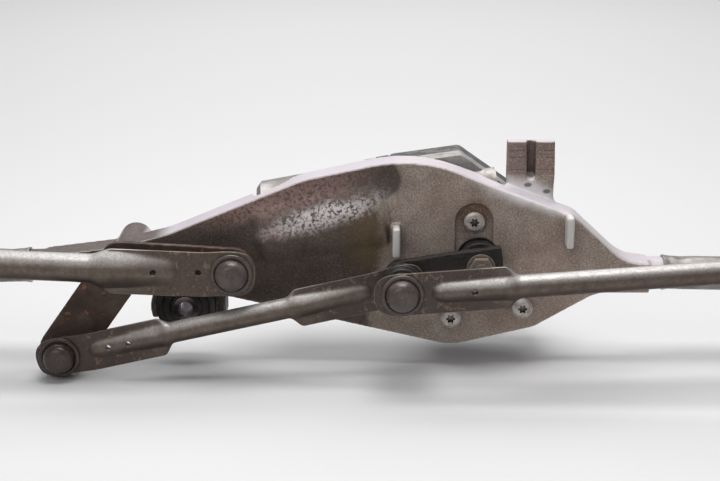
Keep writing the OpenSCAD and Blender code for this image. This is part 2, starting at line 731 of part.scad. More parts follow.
module gearbox_housing() {
    color("lightgray") face_on() difference() {
        union() {
            disc(shaft, box_r, -box_back, -box_front - pad_t);
            disc(shaft, box_neck_r, -box_front - box_wall, box_neck_h);
            box_solid(box_upper_front, box_back, 0);
            for (p = carrier_screws_at) {
                disc(p, screw_boss_r, -box_upper_front - cut, -box_front);
                bar(straight_bar(shaft, p, screw_boss_r), -box_upper_front - 2 * cut, -box_front - 2 * pad_t);
            }
            motor_axis(can_end + flange_t / 2)
                cylinder(r = tunnel_r + tunnel_wall, h = -can_end + worm_len / 2 + 5);
            intersection() {
                motor_axis(can_end) {
                    cylinder(r = flange_r, h = flange_t);
                    can_ears(flange_t);
                    cylinder(r = throat_r, h = throat_len);
                }
                gear_frame() translate([can_end - cut, -2 * can_r, -plate_t - free_gap - 3 * can_r])
                    cube([can_len, 4 * can_r, 3 * can_r]);
            }
        }
        disc(shaft, wheel_room_r, -box_back - cut, -motor_d + wheel_t / 2 + 1);
        disc(shaft, output_r + bush_wall + seat_gap, -box_back, 2 * box_neck_h);
        motor_axis(can_end - cut) cylinder(r = tunnel_r, h = -can_end + worm_len / 2 + 4);
        motor_axis(can_end - cut) cylinder(r = commutator_r + 2, h = throat_len - box_wall);
        motor_axis(can_end) ear_holes(cover_screw_r - 0.2, 2 * flange_t);
        for (p = carrier_screws_at)
            disc(p, screw_r + seat_gap, -box_front - 8, 0);
        gear_frame()
            for (p = cover_screws_at)
                disc(p, cover_screw_r + seat_gap, -box_back - cut, -box_back + 9);
    }
}
module gearbox_cover() {
    pins_low = box_back + cover_d - box_wall - cut;
    color("dimgray") face_on() difference() {
        union() {
            box_solid(box_back, box_back + cover_d, 0);
            gear_frame() translate([connector_at[0], connector_at[1], -box_back - cover_d - connector_len])
                translate([-connector_w[0] / 2, -connector_w[1] / 2, 0])
                    cube([connector_w[0], connector_w[1], connector_len + cut]);
            gear_frame() translate([rim_start, box_top - rim_w, -box_back - cover_d + 2])
                cube([-box_left - rim_start + cut, rim_w, 6]);
        }
        difference() {
            box_solid(box_back - cut, box_back + cover_d - box_wall, box_wall);
            gear_frame()
                for (p = cover_screws_at)
                    disc(p, 2.4 * cover_screw_r, -2 * box_back, 0);
        }
        gear_frame() {
            for (p = cover_screws_at)
                disc(p, cover_screw_r + seat_gap, -2 * box_back, 0);
            translate([connector_at[0], connector_at[1], -box_back - cover_d - connector_len - cut])
                translate([-connector_w[0] / 2 + connector_wall, -connector_w[1] / 2 + connector_wall, 0])
                    cube([connector_w[0] - 2 * connector_wall, connector_w[1] - 2 * connector_wall,
                        connector_len + cut]);
            for (i = [-1.5:1.5])
                translate([connector_at[0] + i * pin_step - pin_w / 2 - seat_gap,
                    connector_at[1] - pin_w / 2 - seat_gap, -pins_low - 2 * box_wall])
                    cube([pin_w + 2 * seat_gap, pin_w + 2 * seat_gap, 3 * box_wall]);
        }
    }
}
module cover_screws() {
    color("silver") face_on() gear_frame()
        for (p = cover_screws_at) {
            disc(p, cover_screw_r, -box_back - cover_d - cut, -box_back + 8);
            difference() {
                disc(p, 1.9 * cover_screw_r, -box_back - cover_d - seat_gap - 2.4, -box_back - cover_d - seat_gap);
                at(p, -box_back - cover_d - 4) cylinder(r = cover_screw_r, h = 3, $fn = 6);
            }
        }
}
module torx_screw(p, seat, len) {
    disc(p, screw_r, seat - len, seat + cut);
    difference() {
        union() {
            disc(p, screw_head_r, seat + seat_gap, seat + screw_head_t - 1);
            at(p, seat + screw_head_t - 1) cylinder(r1 = screw_head_r, r2 = screw_head_r - 1.4, h = 1);
        }
        disc(p, 1.9, seat + screw_head_t - 2.4, seat + 2 * screw_head_t);
        for (a = [0:60:300])
            disc(polar(p, 2, a), 0.75, seat + screw_head_t - 2.4, seat + 2 * screw_head_t);
    }
}
module carrier_screws() {
    color("silver") face_on()
        for (i = [0:len(carrier_screws_at) - 1])
            torx_screw(carrier_screws_at[i], i == 0 ? -pocket_d : 0, box_front + 5);
}
module can_screws() {
    color("silver") face_on() for (side = [-1, 1])
        motor_axis(can_end - flange_t / 2) rotate([0, 0, side * ear_angle]) translate([ear_at, 0, 0]) {
            translate([0, 0, -cut]) cylinder(r = cover_screw_r - 0.3, h = flange_t * 1.5);
            translate([0, 0, -3 - seat_gap]) difference() {
                cylinder(r = 1.9 * cover_screw_r, h = 3);
                translate([0, 0, -cut]) cylinder(r = cover_screw_r, h = 2.5, $fn = 6);
            }
        }
}
module circuit_board() {
    color("darkgreen") face_on() difference() {
        box_solid(board_h - board_t, board_h, box_wall + free_gap);
        gear_frame()
            for (p = cover_screws_at)
                disc(p, 2.4 * cover_screw_r + free_gap, -2 * board_h, 0);
    }
}
module connector_pins() {
    color("gold") face_on() gear_frame()
        for (i = [-1.5:1.5])
            translate([connector_at[0] + i * pin_step - pin_w / 2, connector_at[1] - pin_w / 2,
                -box_back - cover_d - connector_len + plug_depth])
                cube([pin_w, pin_w, box_back + cover_d + connector_len - plug_depth - board_h]);
}
module brush_plate() {
    color("saddlebrown") face_on() motor_axis(brush_plate_at)
        tube(can_inner - seat_gap, commutator_r + 1, 3.5);
}
module carbon_brushes() {
    color("dimgray") face_on() motor_axis(brush_plate_at - 9)
        for (side = [0, 180])
            rotate([0, 0, side]) translate([commutator_r + free_gap, -3, 0]) cube([9, 6, 9]);
}
module output_bush() {
    color("goldenrod") face_on() ring(shaft, output_r + bush_wall, output_r + run_gap, -motor_d + wheel_t / 2 + 1.2,
        box_neck_h);
}
module output_seal() {
    color("black") face_on()
        ring(shaft, box_neck_r - 0.5, output_r + run_gap, box_neck_h, box_neck_h + seal_t);
}
module armature_bearings() {
    color("goldenrod") face_on() {
        motor_axis(can_start - nub_len + can_wall) tube(armature_r + bush_wall, armature_r + run_gap, nub_len);
        motor_axis(worm_len / 2 + 0.5) tube(tunnel_r - seat_gap, armature_r + run_gap, 2.4);
    }
}

// Crank and output
module crank_arm() {
    color("#202020") face_on() difference() {
        towards(shaft, crank_ball, crank_h) linear_extrude(crank_t)
            polygon(rounded([[-crank_tail, -crank_w / 2, 0], [crank_tail, -crank_w / 2, 0],
                [crank_len + crank_eye_r, -crank_eye_r, crank_eye_r - blend],
                [crank_len + crank_eye_r, crank_eye_r, crank_eye_r - blend],
                [crank_tail, crank_w / 2, 0], [-crank_tail, crank_w / 2, 0]]));
        disc(shaft, output_r - 1 + seat_gap, 0, 2 * crank_front);
        disc(crank_ball, shank_r + seat_gap, 0, 2 * crank_front);
    }
}
nut_t = 6.5;
module crank_nut() {
    color("tan") face_on() difference() {
        union() {
            disc(shaft, nut_flange_r, crank_front, crank_front + 1.5);
            at(shaft, crank_front) cylinder(d = nut_flats / cos(30), h = nut_t, $fn = 6);
        }
        disc(shaft, thread_r + seat_gap, 0, 2 * crank_front);
    }
}
module crank_ball_stud() {
    color("dimgray") face_on() {
        ball_stud(crank_ball, crank_h, crank_front, ball_h);
        disc(crank_ball, neck_r, ball_h, high_ball_h);
        at(crank_ball, high_ball_h) sphere(r = ball_r);
    }
}
clip_h = crank_h - circlip_t - 2 * seat_gap;
module output_shaft() {
    color("silver") face_on() difference() {
        union() {
            disc(shaft, output_r, -motor_d - wheel_t / 2 - 2, crank_h);
            disc(shaft, output_r - 1, 0, crank_front);
            disc(shaft, thread_r, 0, crank_front + nut_t + 1);
        }
        ring(shaft, 2 * output_r, output_r - groove_d, clip_h - seat_gap, clip_h + circlip_t + seat_gap);
    }
}
function tooth(a) = let (step = 360 / wheel_teeth)
    [polar([0, 0], wheel_root_r, a - 0.37 * step), polar([0, 0], wheel_tip_r, a - 0.11 * step),
        polar([0, 0], wheel_tip_r, a + 0.11 * step), polar([0, 0], wheel_root_r, a + 0.37 * step)];
module worm_wheel() {
    web_r = wheel_root_r - 6;
    color("ivory") face_on() difference() {
        at(shaft, -motor_d - wheel_t / 2) linear_extrude(wheel_t)
            polygon([for (i = [0:wheel_teeth - 1]) each tooth(90 + motor_tilt + i * 360 / wheel_teeth)]);
        disc(shaft, output_r + seat_gap, -2 * motor_d, 0);
        ring(shaft, web_r, output_r + 5, -motor_d + wheel_t / 2 - 4, 0);
    }
}
module output_circlip() { color("dimgray") face_on() circlip(shaft, output_r, clip_h); }

// Armature
module armature_shaft() {
    worm_turn = 360 * worm_len / worm_pitch;
    color("silver") face_on() {
        motor_axis(can_start - nub_len + can_wall + 1)
            cylinder(r = armature_r, h = -can_start + nub_len - can_wall - 1 - worm_len / 2 + 0.5);
        motor_axis(worm_len / 2 - 0.5) cylinder(r = armature_r, h = 3);
        motor_axis(-worm_len / 2) rotate([0, 0, 90 - worm_turn / 2])
            linear_extrude(worm_len, twist = -worm_turn, slices = 110)
                translate([worm_depth, 0]) circle(r = worm_r, $fn = 24);
    }
}
module armature_core() {
    color("darkslategray") face_on() motor_axis(core_start) difference() {
        tube(core_r, armature_r + seat_gap, core_len);
        for (a = [0:30:330])
            rotate([0, 0, a]) translate([core_r - 6, -1, -cut]) cube([10, 2, core_len + 2 * cut]);
    }
}
module armature_winding() {
    color("chocolate") face_on() {
        motor_axis(core_start - winding_len - seat_gap) tube(core_r - 3, armature_r + seat_gap, winding_len);
        motor_axis(core_start + core_len + seat_gap) tube(core_r - 3, armature_r + seat_gap, winding_len);
    }
}
module commutator() {
    color("peru") face_on() motor_axis(commutator_start) tube(commutator_r, armature_r + seat_gap, 12);
}

// Left drive rod, from the crank to the bellcrank's lower arm
module left_drive_rod() {
    color("darkgray") face_on() rod(crank_ball, low_ball, ball_h, left_drive_r, [], [28, 39.5]);
}
module left_drive_sockets() {
    color("dimgray") face_on() {
        socket(crank_ball, ball_h, true);
        socket(low_ball, ball_h, false);
    }
}
module lower_ball_stud() { color("dimgray") face_on() open_stud(low_ball, lever_front, ball_h); }

// Bellcrank
module bellcrank_plate() {
    color("saddlebrown") face_on() difference() {
        union() {
            bar(bent_bar(low_ball, pivot, high_ball, low_arm_w, arm_w, bellcrank_bend_r),
                lever_h, lever_front);
            disc(low_ball, collar_r - 1, lever_h - tail_t, lever_h + cut);
        }
        disc(pivot, pivot_r - 1 + seat_gap, 0, 2 * lever_front);
        disc(high_ball, shank_r + seat_gap, 0, 2 * lever_front);
    }
}
// Shaft riveted through a lever; head is the height of the rivet head, 0 where it is peened flush
module pivot_shaft(p, r, low, lever_low, head) {
    disc(p, r, -low, lever_low);
    disc(p, r - 1, 0, lever_low + lever_t + head);
    if (head > 0)
        disc(p, r + 1, lever_low + lever_t, lever_low + lever_t + head);
}
module groove(p, r, back) {
    ring(p, 2 * r, r - groove_d, -back - stack_gap - circlip_t - seat_gap, -back - stack_gap + seat_gap);
}
module bellcrank_spindle() {
    color("silver") face_on() difference() {
        pivot_shaft(pivot, pivot_r, pivot_boss_d + stack_gap + circlip_t + 2, lever_h, rivet_t);
        groove(pivot, pivot_r, pivot_boss_d);
    }
}
module upper_ball_stud() { color("dimgray") face_on() ball_stud(high_ball, lever_h, lever_front, ball_h); }
module washers(p, r, back, lever_low) {
    ring(p, r + 4, r + run_gap, -back - end_gap - washer_t, -back - end_gap);
    ring(p, r + 4, r + run_gap, lever_low - end_gap - washer_t, lever_low - end_gap);
}
module bellcrank_washers() { color("silver") face_on() washers(pivot, pivot_r, pivot_boss_d, lever_h); }
module bellcrank_circlip() {
    color("dimgray") face_on() circlip(pivot, pivot_r, -pivot_boss_d - stack_gap - circlip_t);
}

// Left link rod, from the bellcrank's upper arm to the left lever
module left_link_rod() {
    color("darkgray") face_on() rod(high_ball, left_ball, ball_h, left_link_r, [20, 46], []);
}
module left_link_sockets() {
    color("dimgray") face_on() {
        socket(high_ball, ball_h, false);
        socket(left_ball, ball_h, false);
    }
}
module left_lever_stud() { color("dimgray") face_on() open_stud(left_ball, lever_front, ball_h); }

// Wiper spindles
module spindle(p, lever_low, head) {
    difference() {
        union() {
            pivot_shaft(p, spindle_r, cone_start, lever_low, head);
            at(p, -cone_start - cone_len) cylinder(r1 = spindle_r - cone_drop, r2 = spindle_r, h = cone_len);
            disc(p, thread_r, -cone_start - cone_len - thread_len, -cone_start);
        }
        groove(p, spindle_r, barrel_d);
    }
}
module spindle_lever(p, q, low) {
    difference() {
        union() {
            bar(straight_bar(p, q, arm_w), low, low + lever_t);
            disc(q, collar_r - 1, low - tail_t, low + cut);
        }
        disc(p, spindle_r - 1 + seat_gap, 0, 2 * (low + lever_t));
    }
}
module left_spindle() { color("silver") face_on() spindle(left_pivot, lever_h, rivet_t); }
module left_lever() { color("saddlebrown") face_on() spindle_lever(left_pivot, left_ball, lever_h); }
module left_washers() { color("silver") face_on() washers(left_pivot, spindle_r, barrel_d, lever_h); }
module left_circlip() {
    color("dimgray") face_on() circlip(left_pivot, spindle_r, -barrel_d - stack_gap - circlip_t);
}

// Right drive rod, from the crank to the right lever
module right_drive_rod() {
    color("darkgray") face_on() rod(crank_ball, right_ball, high_ball_h, right_drive_r, [41.5], []);
}
module right_drive_sockets() {
    color("dimgray") face_on() {
        socket(crank_ball, high_ball_h, false);
        socket(right_ball, high_ball_h, false);
    }
}
module right_lever_stud() { color("dimgray") face_on() open_stud(right_ball, right_lever_front, high_ball_h); }
module right_spindle() { color("silver") face_on() spindle(right_pivot, right_lever_h, 0); }
module right_lever() { color("saddlebrown") face_on() spindle_lever(right_pivot, right_ball, right_lever_h); }
module right_washers() { color("silver") face_on() washers(right_pivot, spindle_r, barrel_d, right_lever_h); }
module right_circlip() {
    color("dimgray") face_on() circlip(right_pivot, spindle_r, -barrel_d - stack_gap - circlip_t);
}

motor_carrier();
left_frame_tube();
right_frame_tube();
left_spindle_housing();
right_spindle_housing();
left_spindle_bushes();
right_spindle_bushes();
bellcrank_bushes();
centre_grommet();
centre_sleeve();
left_grommet();
left_sleeve();
right_grommet();
right_sleeve();
motor_can();
motor_magnets();
gearbox_housing();
gearbox_cover();
cover_screws();
carrier_screws();
can_screws();
circuit_board();
connector_pins();
brush_plate();
carbon_brushes();
output_bush();
output_seal();
armature_bearings();
crank_arm();
crank_nut();
crank_ball_stud();
output_shaft();
worm_wheel();
output_circlip();
armature_shaft();
armature_core();
armature_winding();
commutator();
left_drive_rod();
left_drive_sockets();
lower_ball_stud();
bellcrank_plate();
bellcrank_spindle();
upper_ball_stud();
bellcrank_washers();
bellcrank_circlip();
left_link_rod();
left_link_sockets();
left_lever_stud();
left_spindle();
left_lever();
left_washers();
left_circlip();
right_drive_rod();
right_drive_sockets();
right_lever_stud();
right_spindle();
right_lever();
right_washers();
right_circlip();
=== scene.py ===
import json
import math

import bmesh
import bpy
from mathutils import Matrix, Vector, noise

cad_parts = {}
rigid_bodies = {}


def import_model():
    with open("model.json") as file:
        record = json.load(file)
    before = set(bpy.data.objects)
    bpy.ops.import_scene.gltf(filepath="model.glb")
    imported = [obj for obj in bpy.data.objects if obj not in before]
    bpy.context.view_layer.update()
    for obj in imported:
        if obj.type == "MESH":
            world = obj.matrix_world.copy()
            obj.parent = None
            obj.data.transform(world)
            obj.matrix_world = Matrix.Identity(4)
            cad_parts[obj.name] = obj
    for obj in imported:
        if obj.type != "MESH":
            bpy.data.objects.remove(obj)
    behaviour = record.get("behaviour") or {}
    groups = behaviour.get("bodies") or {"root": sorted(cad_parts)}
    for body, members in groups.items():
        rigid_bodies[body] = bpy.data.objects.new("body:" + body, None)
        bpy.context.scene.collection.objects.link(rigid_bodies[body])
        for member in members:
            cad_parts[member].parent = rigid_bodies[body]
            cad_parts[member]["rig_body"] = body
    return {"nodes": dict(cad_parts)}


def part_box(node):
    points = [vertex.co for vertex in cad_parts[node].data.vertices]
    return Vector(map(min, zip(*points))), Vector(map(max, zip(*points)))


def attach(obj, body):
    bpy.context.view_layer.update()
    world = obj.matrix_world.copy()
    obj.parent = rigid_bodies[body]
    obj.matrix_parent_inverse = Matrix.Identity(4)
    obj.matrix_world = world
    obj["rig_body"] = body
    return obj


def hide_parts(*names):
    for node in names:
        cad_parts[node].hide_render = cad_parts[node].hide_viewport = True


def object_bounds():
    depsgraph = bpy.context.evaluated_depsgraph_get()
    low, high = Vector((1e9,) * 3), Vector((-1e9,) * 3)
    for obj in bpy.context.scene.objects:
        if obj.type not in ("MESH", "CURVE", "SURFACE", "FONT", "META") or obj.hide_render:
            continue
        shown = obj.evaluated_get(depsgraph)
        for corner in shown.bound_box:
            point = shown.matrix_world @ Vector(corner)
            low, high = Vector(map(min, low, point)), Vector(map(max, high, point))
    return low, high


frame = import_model()
cad_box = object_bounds()
nodes = frame["nodes"]

# The studio: the linkage lies on a pale floor under a lamp overhead and a weaker one in front, and a third
# lights the floor behind. The camera stands in front of the carrier's face and looks down a little.
scene = bpy.context.scene
scene.view_settings.view_transform = "Standard"


def aimed(name, data, place, aim):
    """A camera or a lamp put in its place and turned to the point that it aims at."""
    made = bpy.data.objects.new(name, data)
    made.location = place
    made.rotation_euler = (Vector(aim) - made.location).to_track_quat("-Z", "Y").to_euler()
    scene.collection.objects.link(made)
    return made


AIM = Vector((0.103, 0, 0.041))
CAMERA_FAR = 0.9
CAMERA_UP = math.radians(16)
camera_data = bpy.data.cameras.new("photo_camera")
camera_data.sensor_width = 36
camera_data.lens = 76.9
camera_place = AIM + CAMERA_FAR * Vector((0, -math.cos(CAMERA_UP), math.sin(CAMERA_UP)))
scene.camera = aimed("photo_camera", camera_data, camera_place, AIM)


def tone(red, green, blue):
    """A colour as a screen shows it, from 0 to 255, as the linear colour that a shader takes."""
    return tuple(((v / 255 + 0.055) / 1.055) ** 2.4 for v in (red, green, blue)) + (1,)


def add_node(tree, kind, sockets=None, **settings):
    """A shader node with its settings, and its inputs given as values or as other nodes' outputs."""
    made = tree.nodes.new("ShaderNode" + kind)
    for name, value in settings.items():
        setattr(made, name, value)
    for name, value in (sockets or {}).items():
        if isinstance(value, bpy.types.NodeSocket):
            tree.links.new(value, made.inputs[name])
        else:
            made.inputs[name].default_value = value
    return made


def new_material(name, metallic=0.0, **constants):
    """A material with its Principled shader, and that shader's constant sockets."""
    material = bpy.data.materials.new(name)
    material.use_nodes = True
    shader = material.node_tree.nodes["Principled BSDF"]
    shader.inputs["Metallic"].default_value = metallic
    for socket, value in constants.items():
        shader.inputs[socket.replace("_", " ")].default_value = value
    return material, material.node_tree, shader.inputs


floor_material, floor_tree, floor_shader = new_material("pale_floor", Roughness=0.7)
floor_mottle = add_node(floor_tree, "TexNoise", {"Scale": 3.0, "Detail": 2.0})
floor_ramp = add_node(floor_tree, "ValToRGB", {"Fac": floor_mottle.outputs["Fac"]})
floor_ramp.color_ramp.elements[0].color = tone(200, 199, 198)
floor_ramp.color_ramp.elements[1].color = tone(207, 206, 205)
floor_tree.links.new(floor_ramp.outputs["Color"], floor_shader["Base Color"])
FLOOR_HALF = 4.0
FLOOR_CORNERS = ((-1, -1), (1, -1), (1, 1), (-1, 1))
floor_z = cad_box[0][2]
floor_mesh = bpy.data.meshes.new("floor")
floor_corners = [(x * FLOOR_HALF, y * FLOOR_HALF, floor_z) for x, y in FLOOR_CORNERS]
floor_mesh.from_pydata(floor_corners, [], [(0, 1, 2, 3)])
floor_mesh.materials.append(floor_material)
floor = bpy.data.objects.new("floor", floor_mesh)
scene.collection.objects.link(floor)

world = bpy.data.worlds.new("studio_room")
scene.world = world
world.use_nodes = True
room_light = world.node_tree.nodes["Background"].inputs
room_light["Color"].default_value = (0.9, 0.92, 1.0, 1)
room_light["Strength"].default_value = 0.34
# Each lamp's place, the point that it aims at, its width in metres and its power in watts
LAMPS = {
    "overhead_lamp": ((0.1, 0.0, 1.0), (0.1, 0.0, 0.0), 0.6, 9.8),
    "front_lamp": ((-0.4, -1.1, 0.8), (0.1, 0.0, 0.0), 0.9, 4.5),
    "back_lamp": ((0.1, 1.5, 1.5), (0.1, 1.7, 0.0), 1.6, 30.0),
}
for lamp_name, (place, aim, size, power) in LAMPS.items():
    lamp = bpy.data.lights.new(lamp_name, "AREA")
    lamp.size = size
    lamp.energy = power
    aimed(lamp_name, lamp, place, aim)

# The carrier: one die casting of aluminium that holds the gear motor, the bellcrank's bearing and both tubes.
# Its edges are round from the mould, its skin is grainy, and road dirt has settled on its left half.
CAST_VOXEL = 0.0008
SOFT_PASSES = 70


def settled(piece):
    """Applies a piece's modifiers and shades it smooth."""
    graph = bpy.context.evaluated_depsgraph_get()
    done = bpy.data.meshes.new_from_object(piece.evaluated_get(graph))
    piece.modifiers.clear()
    piece.data = done
    done.shade_smooth()


def smoothing(piece, passes):
    """A modifier that smooths a piece in a number of passes."""
    smooth = piece.modifiers.new("melt", "SMOOTH")
    smooth.factor = 0.5
    smooth.iterations = passes
    return smooth


def melted(node, name, voxel, passes, soft=None):
    """A node's solid with its edges melted round, in place of the node; soft says where it melts more."""
    source = nodes[node]
    shell = bpy.data.objects.new(name, source.data.copy())
    scene.collection.objects.link(shell)
    remesh = shell.modifiers.new("voxels", "REMESH")
    remesh.mode = "VOXEL"
    remesh.voxel_size = voxel
    smoothing(shell, passes)
    settled(shell)
    if soft:
        group = shell.vertex_groups.new(name="soft")
        for vertex in shell.data.vertices:
            share = soft(vertex.co)
            if share > 0:
                group.add([vertex.index], share, "REPLACE")
        smoothing(shell, SOFT_PASSES).vertex_group = "soft"
        settled(shell)
    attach(shell, source["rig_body"])
    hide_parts(node)
    return shell


def dressed(piece, material):
    """Gives a piece one material."""
    piece.data.materials.clear()
    piece.data.materials.append(material)


def new_effect(name, inputs, outputs):
    """A shader node group with its named sockets; gives the group, its inputs and its outputs."""
    group = bpy.data.node_groups.new(name, "ShaderNodeTree")
    for socket, value in inputs.items():
        kind = "NodeSocketFloat" if isinstance(value, float) else "NodeSocketVector"
        group.interface.new_socket(socket, in_out="INPUT", socket_type=kind).default_value = value
    for socket in outputs:
        group.interface.new_socket(socket, in_out="OUTPUT", socket_type="NodeSocketFloat")
    return group, group.nodes.new("NodeGroupInput").outputs, group.nodes.new("NodeGroupOutput").inputs


def effect(tree, group, **values):
    """The outputs of an effect placed in a material with its own values."""
    made = tree.nodes.new("ShaderNodeGroup")
    made.node_tree = group
    for socket, value in values.items():
        made.inputs[socket].default_value = value
    return made.outputs


def mixed(tree, factor, first, second):
    """Two colours mixed by a factor."""
    mix = tree.nodes.new("ShaderNodeMix")
    mix.data_type = "RGBA"
    for index, value in ((0, factor), (6, first), (7, second)):
        if isinstance(value, bpy.types.NodeSocket):
            tree.links.new(value, mix.inputs[index])
        else:
            mix.inputs[index].default_value = value
    return mix.outputs[2]


def worked(tree, how, first, second=0.0):
    """The result of one sum on two values."""
    return add_node(tree, "Math", {0: first, 1: second}, operation=how).outputs[0]


def times(tree, first, second):
    """The product of two values."""
    return worked(tree, "MULTIPLY", first, second)


def rest_of(tree, value):
    """What a value leaves of 1."""
    return worked(tree, "SUBTRACT", 1.0, value)


def coated(tree, colour, mask, share, coat):
    """A colour with a share of another one over it, where a mask says."""
    return mixed(tree, times(tree, mask, share), colour, coat)


def stepped(tree, value, low, high, from_value=0.0, to_value=1.0):
    """A value's smooth step from low to high."""
    sockets = {"Value": value, "From Min": low, "From Max": high, "To Min": from_value, "To Max": to_value}
    return add_node(tree, "MapRange", sockets, interpolation_type="SMOOTHSTEP").outputs["Result"]


def split(tree, coordinate):
    """The X, Y and Z of a texture coordinate."""
    return add_node(tree, "SeparateXYZ", {0: add_node(tree, "TexCoord").outputs[coordinate]}).outputs


# Patches: noise cut at a level, for dirt, rust and bare spots
patches, given, out = new_effect("patches", {"Scale": 40.0, "Level": 0.5, "Edge": 0.05}, ["Mask"])
place = add_node(patches, "TexCoord").outputs["Object"]
sockets = {"Vector": place, "Scale": given["Scale"], "Detail": 6.0, "Roughness": 0.62}
cloud = add_node(patches, "TexNoise", sockets)
low = worked(patches, "SUBTRACT", given["Level"], given["Edge"])
high = worked(patches, "ADD", given["Level"], given["Edge"])
patches.links.new(stepped(patches, cloud.outputs["Fac"], low, high), out["Mask"])

# Grain: the pits of a skin as a height, and the flecks where painted glints go
grain, given, out = new_effect("grain", {"Scale": 900.0}, ["Height", "Fleck"])
place = add_node(grain, "TexCoord").outputs["Object"]
sockets = {"Vector": place, "Scale": given["Scale"], "Detail": 3.0, "Roughness": 0.6}
pits = add_node(grain, "TexNoise", sockets)
cells = add_node(grain, "TexVoronoi", {"Vector": place, "Scale": given["Scale"]})
fleck = add_node(grain, "SeparateColor", {"Color": cells.outputs["Color"]}).outputs["Red"]
grain.links.new(pits.outputs["Fac"], out["Height"])
grain.links.new(fleck, out["Fleck"])

# Zone: a soft round or oval region of the linkage's face, with a ragged edge
zone, given, out = new_effect(
    "zone",
    {"Centre": (0.0, 0.0, 0.0), "Squash": (1.0, 0.0, 1.0), "Tilt": 0.0, "Reach": 0.02, "Edge": 0.004,
     "Ragged": 0.004},
    ["Mask"],
)
place = add_node(zone, "TexCoord").outputs["Object"]
cloud = add_node(zone, "TexNoise", {"Vector": place, "Scale": 90.0, "Detail": 5.0})
centred = add_node(zone, "VectorMath", {0: cloud.outputs["Color"], 1: (0.5, 0.5, 0.5)}, operation="SUBTRACT")
shaken = add_node(zone, "VectorMath", {0: centred.outputs[0], "Scale": given["Ragged"]}, operation="SCALE")
moved = add_node(zone, "VectorMath", {0: place, 1: shaken.outputs[0]}, operation="ADD")
apart = add_node(zone, "VectorMath", {0: moved.outputs[0], 1: given["Centre"]}, operation="SUBTRACT")
sockets = {"Vector": apart.outputs[0], "Angle": given["Tilt"]}
level = add_node(zone, "VectorRotate", sockets, rotation_type="Y_AXIS")
flat = add_node(zone, "VectorMath", {0: level.outputs[0], 1: given["Squash"]}, operation="MULTIPLY")
far = add_node(zone, "VectorMath", {0: flat.outputs[0]}, operation="LENGTH").outputs["Value"]
low = worked(zone, "SUBTRACT", given["Reach"], given["Edge"])
high = worked(zone, "ADD", given["Reach"], given["Edge"])
zone.links.new(stepped(zone, far, low, high, 1.0, 0.0), out["Mask"])

# Worn edges: where a rounded normal parts from the true one, broken up by noise
EDGE_SAMPLES = 6
worn_edges, given, out = new_effect("worn_edges", {"Width": 0.0008, "Broken": 0.5}, ["Mask"])
rounded = add_node(worn_edges, "Bevel", {"Radius": given["Width"]}, samples=EDGE_SAMPLES).outputs["Normal"]
true = add_node(worn_edges, "NewGeometry").outputs["Normal"]
parted = add_node(worn_edges, "VectorMath", {0: rounded, 1: true}, operation="DOT_PRODUCT").outputs["Value"]
edge = stepped(worn_edges, parted, 0.8, 0.99, 1.0, 0.0)
place = add_node(worn_edges, "TexCoord").outputs["Object"]
cloud = add_node(worn_edges, "TexNoise", {"Vector": place, "Scale": 260.0, "Detail": 4.0})
breaks = stepped(worn_edges, cloud.outputs["Fac"], 0.3, 0.6)
kept = times(worn_edges, rest_of(worn_edges, breaks), given["Broken"])
worn_edges.links.new(times(worn_edges, edge, rest_of(worn_edges, kept)), out["Mask"])

# Crevices: painted shade, darker where corners and recesses of the same piece close off the sky
crevice_shade, given, out = new_effect("crevice_shade", {"Distance": 0.004}, ["Mask"])
sockets = {"Distance": given["Distance"]}
sky = add_node(crevice_shade, "AmbientOcclusion", sockets, samples=EDGE_SAMPLES, only_local=True)
crevice_shade.links.new(stepped(crevice_shade, sky.outputs["AO"], 0.35, 0.85, 1.0, 0.0), out["Mask"])


def patched(tree, scale, level, edge):
    """The mask of patches of one scale, cut at a level."""
    return effect(tree, patches, Scale=scale, Level=level, Edge=edge)["Mask"]


def zoned(tree, at, reach, edge, ragged, squash=(1.0, 1.0), tilt=0.0):
    """The mask of a zone on the linkage's face, with its middle and squash given across and up."""
    shape = {"Centre": (at[0], 0.0, at[1]), "Squash": (squash[0], 0.0, squash[1]), "Tilt": tilt}
    return effect(tree, zone, Reach=reach, Edge=edge, Ragged=ragged, **shape)["Mask"]


def surfaced(tree, shader, colour, cloudy, rough, height, relief):
    """Gives a shader its colour, its roughness between two values and a relief of a depth in metres."""
    tree.links.new(colour, shader["Base Color"])
    tree.links.new(stepped(tree, cloudy, 0.0, 1.0, *rough), shader["Roughness"])
    bump = add_node(tree, "Bump", {"Height": height, "Distance": relief, "Strength": 1.0})
    tree.links.new(bump.outputs["Normal"], shader["Normal"])


